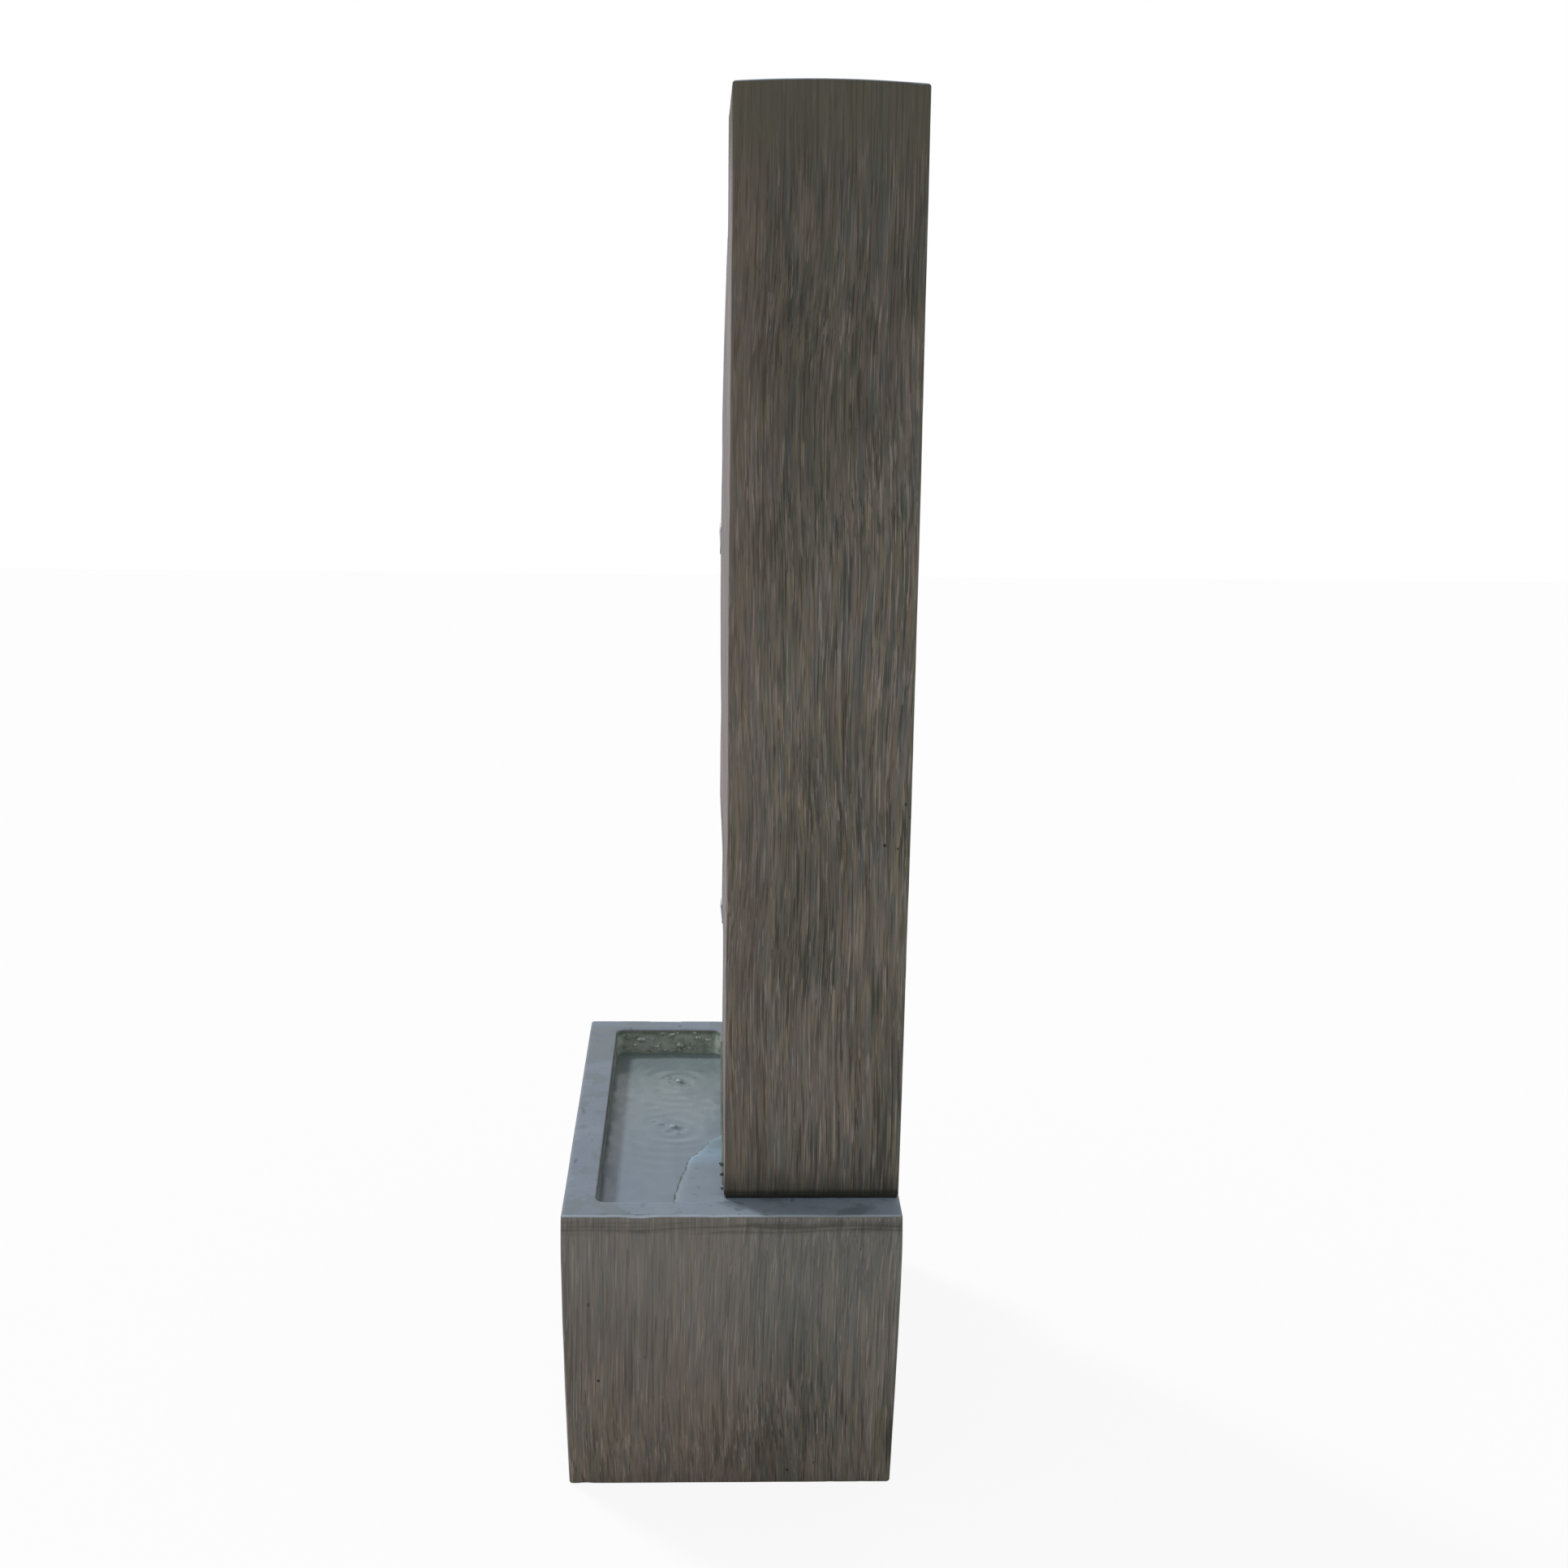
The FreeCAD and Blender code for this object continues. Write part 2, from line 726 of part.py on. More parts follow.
# Ledge: hand-laid mortar that fills the near rear corner of the pool at rim height
def make_ledge():
    body = new_body("corner_ledge")
    outline = sketch_on(body, "XY_Plane", "basin_height - ledge_thickness")
    free_edge = [(f"{pool_half} - ledge_length * {along}", f"{deck_front} - ledge_side_reach * {out}")
                 for along, out in LEDGE_CORNERS]
    draw_polygon(outline, [(pool_half, deck_front)] + free_edge
                 + [(f"{pool_half} - ledge_length", deck_front)])
    add_feature(body, "Pad", outline, "ledge_thickness")
    front = number(deck_front)
    side = number(pool_half)
    round_edges(body, "ledge_toe_radius",
                lambda edge, middle: upright(edge)
                and middle.y < front - TOUCH and middle.x < side - TOUCH)
    # The pool's own corner is rounded, so the ledge is too.
    round_edges(body, "pool_corner_radius",
                lambda edge, middle: upright(edge)
                and middle.y > front - TOUCH and middle.x > side - TOUCH)


# Bedding strip and dowels between basin and column
def make_foot_joint():
    edge = f"({column_half} - bedding_margin)"
    inner = f"({inner_half} + bedding_margin)"
    level = ("basin_height", column_foot)
    slab = box((f"-{edge}", edge),
               (f"{column_front} + bedding_margin", f"{column_back} - bedding_margin"), level)
    hole = box((f"-{inner}", inner),
               (f"{inner_front} - bedding_margin", f"{inner_back} + bedding_margin"), level)
    holes = [rod("z", spot, level, "dowel_radius + dowel_clearance") for spot in dowel_places()]
    keep("bedding_strip", cut(slab, [hole] + holes))
    low = "(basin_height - (dowel_length - bedding_thickness) / 2)"
    dowels = [rod("z", spot, (low, f"{low} + dowel_length"), "dowel_radius") for spot in dowel_places()]
    keep("locating_dowels", group(dowels), len(dowels))


# Drain bush in the pool floor and the plug that lifts out of it
def make_drain():
    turned("drain_bush", "0", drain_y, "0", [
        ("bush_bore_radius", "0"),
        ("bush_radius", "0"),
        ("bush_radius", "floor_thickness - bush_flange_thickness"),
        ("bush_flange_radius", "floor_thickness - bush_flange_thickness"),
        ("bush_flange_radius", "floor_thickness"),
        ("bush_bore_radius", "floor_thickness"),
    ])
    head = "floor_thickness + plug_seat_gap"
    stem = "bush_bore_radius - plug_clearance"
    turned("drain_plug", "0", drain_y, "0", [
        ("0", f"{head} - plug_stem_length"),
        (f"{stem} - plug_tip_inset", f"{head} - plug_stem_length"),
        (stem, f"{head} - plug_stem_length + plug_tip_length"),
        (stem, head),
        ("plug_head_radius", head),
        ("plug_head_radius", f"{head} + plug_head_thickness"),
        ("plug_pull_radius", f"{head} + plug_head_thickness"),
        ("plug_waist_radius", f"{head} + plug_head_thickness + plug_pull_length / 2"),
        ("plug_knob_radius", f"{head} + plug_head_thickness + plug_pull_length"),
        ("0", f"{head} + plug_head_thickness + plug_pull_length"),
    ])


# Column: hollow slab with a crowned top, two swollen mouths and a rear service opening
def make_column():
    body = new_body("column_shell")
    plan = sketch_on(body, "XY_Plane", column_foot)
    draw_rectangle(plan, (f"-{column_half}", column_half), (column_front, column_back))
    add_feature(body, "Pad", plan, "column_height")
    round_edges(body, "column_corner_radius", lambda edge, middle: upright(edge))

    # A wide low arc takes the front and rear edges of the top down by the crown.
    crown = sketch_on(body, "YZ_Plane", f"-{column_half} - overcut")
    draw_crown(crown)
    add_feature(body, "Pocket", crown, "column_width + 2 * overcut", backwards=True)
    shoulder = number(f"{column_top} - column_crown")
    round_edges(body, "column_top_radius",
                lambda edge, middle: middle.z > shoulder - TOUCH and not upright(edge))

    for which, (half_wide, half_tall) in swell_halves.items():
        add_ellipsoid(body, "Additive", mouth_places[which][0], f"{column_front} + swell_depth",
                      f"{column_foot} + {which}_swell_rise", half_wide,
                      f"swell_depth + {which}_swell_proud", half_tall)

    hollow = sketch_on(body, "XY_Plane", column_foot)
    draw_rectangle(hollow, (f"-{inner_half}", inner_half), (inner_front, inner_back))
    add_feature(body, "Pocket", hollow, "column_height - column_roof", backwards=True)

    for which, (x, z) in mouth_places.items():
        proud = f"({which}_swell_proud + swell_depth)"
        mouth = sketch_on(body, "XZ_Plane", f"{proud} - {column_front}")
        draw_ellipse(mouth, x, z, f"{which}_mouth_width", f"{which}_mouth_tall")
        add_feature(body, "Pocket", mouth, f"{proud} + column_wall + overcut")
    front = number(column_front)
    round_edges(body, "mouth_lip_radius", lambda edge, middle: is_mouth_edge(edge, middle, front))

    back = f"-{column_back}"
    rebate = sketch_on(body, "XZ_Plane", back)
    half = "panel_opening_width / 2"
    draw_rectangle(rebate, (f"-{half}", half), (panel_low, panel_high))
    add_feature(body, "Pocket", rebate, "panel_thickness + panel_recess", backwards=True)
    hatch = sketch_on(body, "XZ_Plane", back)
    draw_rectangle(hatch, (f"panel_lip - {half}", f"{half} - panel_lip"),
                   (f"{panel_low} + panel_lip", f"{panel_high} - panel_lip"))
    add_feature(body, "Pocket", hatch, "column_wall", backwards=True)

    holes = sketch_on(body, "XZ_Plane", back)
    for x, z in panel_screw_places():
        draw_circle(holes, x, z, "panel_screw_radius + screw_clearance")
    add_feature(body, "Pocket", holes, "column_wall", backwards=True)
    recess = sketch_on(body, "XZ_Plane", back)
    draw_rectangle(recess,
                   ("-tie_width / 2 - tie_clearance", "tie_width / 2 + tie_clearance"),
                   (f"{tie_height} - tie_tall / 2 - tie_clearance",
                    f"{tie_height} + tie_tall / 2 + tie_clearance"))
    add_feature(body, "Pocket", recess, "tie_thickness + tie_recess", backwards=True)
    bolts = sketch_on(body, "XZ_Plane", back)
    for x, z in tie_screw_places():
        draw_circle(bolts, x, z, "screw_radius + screw_clearance")
    add_feature(body, "Pocket", bolts, "tie_recess + tie_thickness + screw_grip", backwards=True)
    pocket = sketch_on(body, "XZ_Plane", back)
    draw_circle(pocket, "0", tie_height, "tie_bolt_room_radius")
    add_feature(body, "Pocket", pocket, "tie_recess + tie_thickness + tie_bolt_depth", backwards=True)

    flange = sketch_on(body, "XZ_Plane", back)
    draw_circle(flange, grommet_x, grommet_height, "grommet_flange_radius")
    add_feature(body, "Pocket", flange, "grommet_flange_thickness", backwards=True)
    cable = sketch_on(body, "XZ_Plane", back)
    draw_circle(cable, grommet_x, grommet_height, "grommet_radius")
    add_feature(body, "Pocket", cable, "column_wall", backwards=True)

    sockets = sketch_on(body, "XY_Plane", column_foot)
    for x, y in dowel_places():
        draw_circle(sockets, x, y, "dowel_radius + dowel_clearance")
    add_feature(body, "Pocket", sockets, "(dowel_length - bedding_thickness) / 2", backwards=True)
    blind = sketch_on(body, "XZ_Plane", f"-{inner_front}")
    for x, z in bowl_screw_places("upper") + bowl_screw_places("lower") + clip_screw_places():
        draw_circle(blind, x, z, "screw_radius + screw_clearance")
    add_feature(body, "Pocket", blind, "screw_grip + overcut", backwards=True)
    return body


def draw_crown(sketch):
    """The sliver above the crown's arc: three straight sides and one arc."""
    shoulder = f"{column_top} - column_crown"
    over = f"{column_top} + overcut"
    front, back = column_front, column_back
    spots = {key: FreeCAD.Vector(number(x), number(z), 0) for key, (x, z) in {
        "front": (front, shoulder), "back": (back, shoulder),
        "front_over": (front, over), "back_over": (back, over)}.items()}
    middle = FreeCAD.Vector((spots["front"].x + spots["back"].x) / 2, number(column_top), 0)
    sketch.addGeometry(Part.Arc(spots["front"], middle, spots["back"]), False)
    sketch.addGeometry(Part.LineSegment(spots["back"], spots["back_over"]), False)
    sketch.addGeometry(Part.LineSegment(spots["back_over"], spots["front_over"]), False)
    sketch.addGeometry(Part.LineSegment(spots["front_over"], spots["front"]), False)
    from_front = abs(sketch.getPoint(0, 1).x - spots["front"].x) < TOUCH
    arc_ends = (1, 2) if from_front else (2, 1)
    sketch.addConstraint(Sketcher.Constraint("Coincident", 0, arc_ends[1], 1, 1))
    sketch.addConstraint(Sketcher.Constraint("Coincident", 1, 2, 2, 1))
    sketch.addConstraint(Sketcher.Constraint("Coincident", 2, 2, 3, 1))
    sketch.addConstraint(Sketcher.Constraint("Coincident", 3, 2, 0, arc_ends[0]))
    for piece, x, z in ((1, back, shoulder), (2, back, over), (3, front, over)):
        hold(sketch, "x", piece, 1, x)
        hold(sketch, "y", piece, 1, z)
    hold(sketch, "x", 3, 2, front)
    hold(sketch, "y", 3, 2, shoulder)
    radius = "((column_depth / 2) ^ 2 + column_crown ^ 2) / (2 * column_crown)"
    place_in = sketch.addConstraint(Sketcher.Constraint("Radius", 0, number(radius)))
    sketch.renameConstraint(place_in, "crown_radius")
    bind(sketch, "Constraints.crown_radius", radius)


def is_mouth_edge(edge, middle, front):
    """True for the outer edges of the two mouths."""
    for which, (x, z) in mouth_places.items():
        across_mouth = (middle.x - number(x)) / number(f"{which}_mouth_width / 2")
        up_mouth = (middle.z - number(z)) / number(f"{which}_mouth_tall / 2")
        if abs(math.hypot(across_mouth, up_mouth) - 1) < ON_OVAL and middle.y < front + TOUCH:
            return True
    return False


def draw_ellipse(sketch, x, z, width, tall):
    """An ellipse held by its centre and its two diameters."""
    centre = FreeCAD.Vector(number(x), number(z), 0)
    half_wide, half_tall = number(width) / 2, number(tall) / 2
    sideways = half_wide >= half_tall
    major = FreeCAD.Vector(half_wide, 0, 0) if sideways else FreeCAD.Vector(0, half_tall, 0)
    minor = FreeCAD.Vector(0, half_tall, 0) if sideways else FreeCAD.Vector(-half_wide, 0, 0)
    sketch.addGeometry(Part.Ellipse(centre + major, centre + minor, centre), False)
    sketch.exposeInternalGeometry(0)
    hold(sketch, "x", 0, 3, x)
    hold(sketch, "y", 0, 3, z)
    sketch.addConstraint(Sketcher.Constraint("Horizontal" if sideways else "Vertical", 1))
    longer, shorter = (width, tall) if sideways else (tall, width)
    for piece, formula, label in ((1, longer, "longer"), (2, shorter, "shorter")):
        place_in = sketch.addConstraint(
            Sketcher.Constraint("Distance", piece, 1, piece, 2, number(formula)))
        sketch.renameConstraint(place_in, label)
        bind(sketch, f"Constraints.{label}", formula)


# Rear access panel, wall tie and cable grommet
def panel_screw_places():
    x = "(panel_opening_width / 2 - panel_lip / 2)"
    low = f"({panel_low} + panel_lip / 2)"
    high = f"({panel_high} - panel_lip / 2)"
    middle = f"(({panel_low} + {panel_high}) / 2)"
    return [(f"{sign}{x}", z) for sign in ("-", "") for z in (low, middle, high)]


def tie_screw_places():
    return [(f"{sign}(tie_screw_spacing / 2)", tie_height) for sign in ("-", "")]


def make_back():
    outer_face = f"({column_back} - panel_recess)"
    inner_face = f"({outer_face} - panel_thickness)"
    body = new_body("rear_access_panel")
    sketch = sketch_on(body, "XZ_Plane", f"-{outer_face}")
    draw_rectangle(sketch,
                   ("panel_clearance - panel_opening_width / 2",
                    "panel_opening_width / 2 - panel_clearance"),
                   (f"{panel_low} + panel_clearance", f"{panel_high} - panel_clearance"))
    add_feature(body, "Pad", sketch, "panel_thickness")
    heads = sketch_on(body, "XZ_Plane", f"-{outer_face}")
    for x, z in panel_screw_places():
        draw_circle(heads, x, z, "screw_head_radius + screw_clearance")
    add_feature(body, "Pocket", heads, "screw_head_length", backwards=True)
    holes = sketch_on(body, "XZ_Plane", f"-{outer_face}")
    for x, z in panel_screw_places():
        draw_circle(holes, x, z, "panel_screw_radius + screw_clearance")
    add_feature(body, "Pocket", holes, "panel_thickness", backwards=True)
    seat = f"({outer_face} - screw_head_length)"
    screws = [screw("y", spot, seat, -1, "panel_screw_radius") for spot in panel_screw_places()]
    keep("panel_screws", group(screws), len(screws))

    tie_outer = f"({column_back} - tie_recess)"
    tie_inner = f"({tie_outer} - tie_thickness)"
    plate = box(("-tie_width / 2", "tie_width / 2"), (tie_inner, tie_outer),
                (f"{tie_height} - tie_tall / 2", f"{tie_height} + tie_tall / 2"))
    tools = [rod("y", ("0", tie_height), (tie_inner, tie_outer), "tie_hole_radius")]
    for spot in tie_screw_places():
        tools.append(rod("y", spot, (tie_inner, tie_outer), "screw_radius + screw_clearance"))
        tools.append(rod("y", spot, (f"{tie_outer} - screw_head_length", tie_outer),
                         "screw_head_radius + screw_clearance"))
    keep("wall_tie_plate", cut(plate, tools))
    seat = f"({tie_outer} - screw_head_length)"
    screws = [screw("y", spot, seat, -1) for spot in tie_screw_places()]
    keep("tie_screws", group(screws), len(screws))

    centre = (grommet_x, grommet_height)
    sleeve = rod("y", centre, (inner_back, column_back), "grommet_radius - screw_clearance")
    outside = rod("y", centre, (f"{column_back} - grommet_flange_thickness", column_back),
                  "grommet_flange_radius - screw_clearance")
    inside = rod("y", centre, (f"{inner_back} - grommet_flange_thickness", inner_back),
                 "grommet_flange_radius - screw_clearance")
    bore = rod("y", centre, (f"{inner_back} - grommet_flange_thickness", column_back),
               "grommet_bore_radius")
    keep("cable_grommet", cut(fuse([sleeve, outside, inside]), [bore]))


# Spill bowls behind the mouths, their screws, tails and nuts
def bowl_half(which):
    return f"({which}_mouth_width / 2 + bowl_side_margin)"


def ear_centre(which, sign):
    return f"({mouth_places[which][0]} {sign} ({bowl_half(which)} + bowl_ear / 2))"


def bowl_screw_places(which):
    middle = f"({lips[which]} - bowl_drop + bowl_ear_tall / 2)"
    return [(ear_centre(which, sign), f"({middle} {shift} bowl_ear_tall / 3)")
            for sign in "-+" for shift in "-+"]


def make_bowl(which, tail_x):
    half = bowl_half(which)
    lip = lips[which]
    centre = mouth_places[which][0]
    low = f"({lip} - bowl_drop - bowl_wall)"
    high = f"({lip} + bowl_rise)"
    reach = f"({inner_front} + bowl_reach)"
    inside_x = (f"{centre} - {half} + bowl_wall", f"{centre} + {half} - bowl_wall")
    front_wall = (inner_front, f"{inner_front} + bowl_wall")
    outer = box((f"{centre} - {half}", f"{centre} + {half}"), (inner_front, reach), (low, high))
    ears = box((f"{centre} - {half} - bowl_ear", f"{centre} + {half} + bowl_ear"), front_wall,
               (f"{lip} - bowl_drop", f"{lip} - bowl_drop + bowl_ear_tall"))
    cavity = box(inside_x, (front_wall[1], f"{reach} - bowl_wall"), (f"{lip} - bowl_drop", high))
    window = box(inside_x, front_wall, (f"{lip} - bowl_lip_gap", high))
    line = (tail_x, hose_line)
    port = rod("z", line, (low, lip), "tail_thread_radius + tail_thread_clearance")
    holes = [rod("y", spot, front_wall, "screw_radius + screw_clearance")
             for spot in bowl_screw_places(which)]
    keep(f"{which}_spill_bowl", cut(fuse([outer, ears]), [cavity, window, port] + holes))
    nut_span = (f"{low} - nut_thickness", low)
    return cut(hex_prism("z", line, nut_span, "nut_corner_radius"),
               [rod("z", line, nut_span, "tail_thread_radius + tail_thread_clearance")])


def tail_profile(end):
    """A flanged and threaded tail from the top of its flange down to the end of its thread."""
    return [
        ("barb_bore_radius", "tail_flange_thickness"),
        ("tail_flange_radius", "tail_flange_thickness"),
        ("tail_flange_radius", "0"),
        ("tail_thread_radius", "0"),
        ("tail_thread_radius", end),
    ]


def make_tails():
    under = "(0 - bowl_wall - nut_thickness)"
    collar_end = f"({under} - collar_length)"
    profile = tail_profile(under) + [("collar_radius", under), ("collar_radius", collar_end)]
    for step in range(BARB_RINGS):
        start = f"{collar_end} - barb_length * {step} / {BARB_RINGS}"
        end = f"{collar_end} - barb_length * {step + 1} / {BARB_RINGS}"
        profile.append((barb_radius, start))
        profile.append((f"{barb_radius} - barb_step", end))
    profile.append(("barb_bore_radius", f"{collar_end} - barb_length"))
    turned("upper_bowl_tail", "upper_mouth_x", hose_line, f"({upper_lip} - bowl_drop)", profile)

    thread_end = f"({under} - elbow_socket_depth)"
    profile = tail_profile(thread_end) + [("barb_bore_radius", thread_end)]
    turned("lower_bowl_tail", lower_tail_x, hose_line, f"({lower_lip} - bowl_drop)", profile)


def make_elbow():
    """Screwed on the lower tail, it turns the branch from level to upright."""
    line = (lower_tail_x, hose_line)
    side = (hose_line, tee_height)
    top = f"({tee_height} + elbow_drop)"
    socket_end = f"({top} - elbow_socket_depth)"
    thread_room = "(tail_thread_radius + tail_thread_clearance)"
    shell = [rod("z", line, (socket_end, top), f"{thread_room} + elbow_socket_wall"),
             rod("z", line, (tee_height, socket_end), "elbow_radius"),
             ball(lower_tail_x, hose_line, tee_height, "elbow_radius"),
             rod("x", side, (lower_tail_x, elbow_root), "elbow_radius")]
    shell += barb("x", side, elbow_root, 1)
    tools = [rod("z", line, (socket_end, top), thread_room),
             rod("z", line, (tee_height, socket_end), "barb_bore_radius"),
             ball(lower_tail_x, hose_line, tee_height, "barb_bore_radius"),
             rod("x", side, (lower_tail_x, f"{elbow_root} + barb_length"), "barb_bore_radius")]
    keep("branch_elbow", cut(fuse(shell), tools))


def make_bowls():
    nuts = [make_bowl("upper", "upper_mouth_x"), make_bowl("lower", lower_tail_x)]
    keep("tail_nuts", group(nuts), len(nuts))
    seat = f"({inner_front} + bowl_wall)"
    screws = [screw("y", spot, seat, -1) for which in lips for spot in bowl_screw_places(which)]
    keep("bowl_screws", group(screws), len(screws))


# Where each hose starts and ends
riser_low = f"({pump_z} + outlet_height + collar_length)"
riser_high = f"({tee_height} - tee_arm)"
upper_hose_low = f"({tee_height} + tee_arm)"
upper_hose_high = f"({upper_lip} - bowl_drop - bowl_wall - nut_thickness - collar_length)"
link_start = "(upper_mouth_x - tee_arm)"
elbow_root = f"({lower_tail_x} + elbow_arm)"
valve_centre = f"(({link_start} + {elbow_root}) / 2)"
valve_start = f"({valve_centre} + valve_length / 2)"
valve_end = f"({valve_centre} - valve_length / 2)"


def make_hoses():
    line = ("upper_mouth_x", hose_line)
    side = (hose_line, tee_height)
    hoses = [
        ("riser_hose", "z", line, (riser_low, riser_high)),
        ("upper_hose", "z", line, (upper_hose_low, upper_hose_high)),
        ("link_hose", "x", side, (valve_start, link_start)),
        ("lower_hose", "x", side, (elbow_root, valve_end)),
    ]
    clamps = []
    for node, axis, centre, (low, high) in hoses:
        keep(node, tube(axis, centre, (low, high), hose_radius, "hose_bore_radius"))
        block_side = 1 if axis == "z" else 0
        clamps.append(clamp(axis, centre, low, 1, block_side))
        clamps.append(clamp(axis, centre, high, -1, block_side))
    keep("hose_clamps", group(clamps), len(clamps))


# Tee, shut-off valve, its ball and lever
def make_branch_fittings():
    line = ("upper_mouth_x", hose_line)
    side = (hose_line, tee_height)
    outer = [rod("z", line, (riser_high, upper_hose_low), "tee_radius"),
             rod("x", side, (link_start, "upper_mouth_x"), "tee_radius")]
    outer += barb("z", line, riser_high, -1)
    outer += barb("z", line, upper_hose_low, 1)
    outer += barb("x", side, link_start, -1)
    bores = [rod("z", line, (f"{riser_high} - barb_length", f"{upper_hose_low} + barb_length"),
                 "barb_bore_radius"),
             rod("x", side, (f"{link_start} - barb_length", "upper_mouth_x"), "barb_bore_radius")]
    keep("hose_tee", cut(fuse(outer), bores))

    shell = [rod("x", side, (valve_end, valve_start), "valve_radius")]
    shell += barb("x", side, valve_start, 1)
    shell += barb("x", side, valve_end, -1)
    neck_top = f"({hose_line} + valve_radius + neck_wall)"
    shell.append(rod("y", (valve_centre, tee_height), (hose_line, neck_top), "stem_radius + neck_wall"))
    room = "(ball_radius + ball_clearance)"
    seat_out = f"({room} + seat_gap)"
    tools = [rod("x", side, (f"{valve_end} - barb_length", f"{valve_start} + barb_length"),
                 "barb_bore_radius"),
             rod("x", side, (f"{valve_centre} - {seat_out}", f"{valve_centre} + {seat_out}"), room),
             rod("y", (valve_centre, tee_height), (hose_line, neck_top),
                 "stem_radius + stem_clearance")]
    keep("valve_body", cut(fuse(shell), tools))

    seats = []
    for sign in ("-", "+"):
        outer_end = f"({valve_centre} {sign} {seat_out})"
        inner_end = f"({valve_centre} {sign} ({seat_out} - seat_thickness))"
        span = ordered(1 if sign == "-" else -1, outer_end, inner_end)
        ring = tube("x", side, span, room, "barb_bore_radius")
        seats.append(cut(ring, [ball(valve_centre, hose_line, tee_height, "ball_radius + seat_gap")]))
    keep("valve_seats", group(seats), len(seats))

    sphere = ball(valve_centre, hose_line, tee_height, "ball_radius")
    through = rod("x", side, (f"{valve_centre} - ball_radius", f"{valve_centre} + ball_radius"),
                  "ball_bore_radius")
    slot_low = f"({hose_line} + ball_radius - tongue_reach)"
    tongue_z = (f"{tee_height} - tongue_thickness / 2", f"{tee_height} + tongue_thickness / 2")
    drive = box((f"{valve_centre} - stem_radius", f"{valve_centre} + stem_radius"),
                (slot_low, f"{hose_line} + ball_radius + tongue_reach"), tongue_z)
    keep("valve_ball", cut(sphere, [through, drive]))

    stem_end = f"({neck_top} + stem_reach)"
    stem = rod("y", (valve_centre, tee_height),
               (f"{hose_line} + ball_radius + ball_clearance", stem_end), "stem_radius")
    tongue = box((f"{valve_centre} - tongue_width / 2", f"{valve_centre} + tongue_width / 2"),
                 (slot_low, f"{hose_line} + ball_radius + ball_clearance"), tongue_z)
    grip = box((f"{valve_centre} - lever_length", f"{valve_centre} + lever_width / 2"),
               (f"{stem_end} - lever_thickness", stem_end),
               (f"{tee_height} - lever_width / 2", f"{tee_height} + lever_width / 2"))
    keep("valve_lever", fuse([stem, tongue, grip]))


# Clips that hold the upper hose to the back of the front wall
def clip_heights():
    step = f"(({upper_hose_high} - {upper_hose_low}) / (clip_count + 1))"
    return [f"({upper_hose_low} + {index + 1} * {step})" for index in range(int(number("clip_count")))]


def clip_screw_places():
    reach = "(clip_half_width + clip_ear / 2)"
    return [(f"(upper_mouth_x {sign} {reach})", height) for height in clip_heights() for sign in "-+"]


def make_clips():
    clips = []
    for height in clip_heights():
        level = (f"{height} - clip_tall / 2", f"{height} + clip_tall / 2")
        block = box(("upper_mouth_x - clip_half_width", "upper_mouth_x + clip_half_width"),
                    (inner_front, f"{hose_line} + hose_bore_radius"), level)
        ears = box(("upper_mouth_x - clip_half_width - clip_ear",
                    "upper_mouth_x + clip_half_width + clip_ear"),
                   (inner_front, f"{inner_front} + clip_ear_thickness"), level)
        bore = rod("z", ("upper_mouth_x", hose_line), level, f"{hose_radius} + clip_clearance")
        holes = [rod("y", spot, (inner_front, f"{inner_front} + clip_ear_thickness"),
                     "screw_radius + screw_clearance")
                 for spot in clip_screw_places() if spot[1] == height]
        clips.append(cut(fuse([block, ears]), [bore] + holes))
    keep("hose_clips", group(clips), len(clips))
    seat = f"({inner_front} + clip_ear_thickness)"
    screws = [screw("y", spot, seat, -1) for spot in clip_screw_places()]
    keep("clip_screws", group(screws), len(screws))


# Pump: every place along its axis is measured from the joint of housing and cover
def at(offset):
    return f"({pump_x} + ({offset}))"


axis_line = (pump_y, pump_z)
housing_y = (f"{pump_y} - housing_width / 2", f"{pump_y} + housing_width / 2")
housing_z = (f"{pump_z} - housing_height / 2", f"{pump_z} + housing_height / 2")
inside_y = (f"{housing_y[0]} + housing_wall", f"{housing_y[1]} - housing_wall")
inside_z = (f"{housing_z[0]} + housing_wall", f"{housing_z[1]} - housing_wall")
well_end = "(well_depth + bush_seat_depth)"
tube_radius = "(well_radius + well_wall)"
tube_end = f"({well_end} + well_wall)"
cap_face = "(housing_length - end_cap_thickness)"


def foot_places():
    return [(at(x), f"({pump_y} {sign} (housing_width / 2 - foot_inset))")
            for x in ("foot_inset", "housing_length - foot_inset") for sign in "-+"]


def cover_screw_places():
    return [(f"({pump_y} {side} (housing_width / 2 - cover_screw_margin))",
             f"({pump_z} {level} (housing_height / 2 - cover_screw_margin))")
            for side in "-+" for level in "-+"]


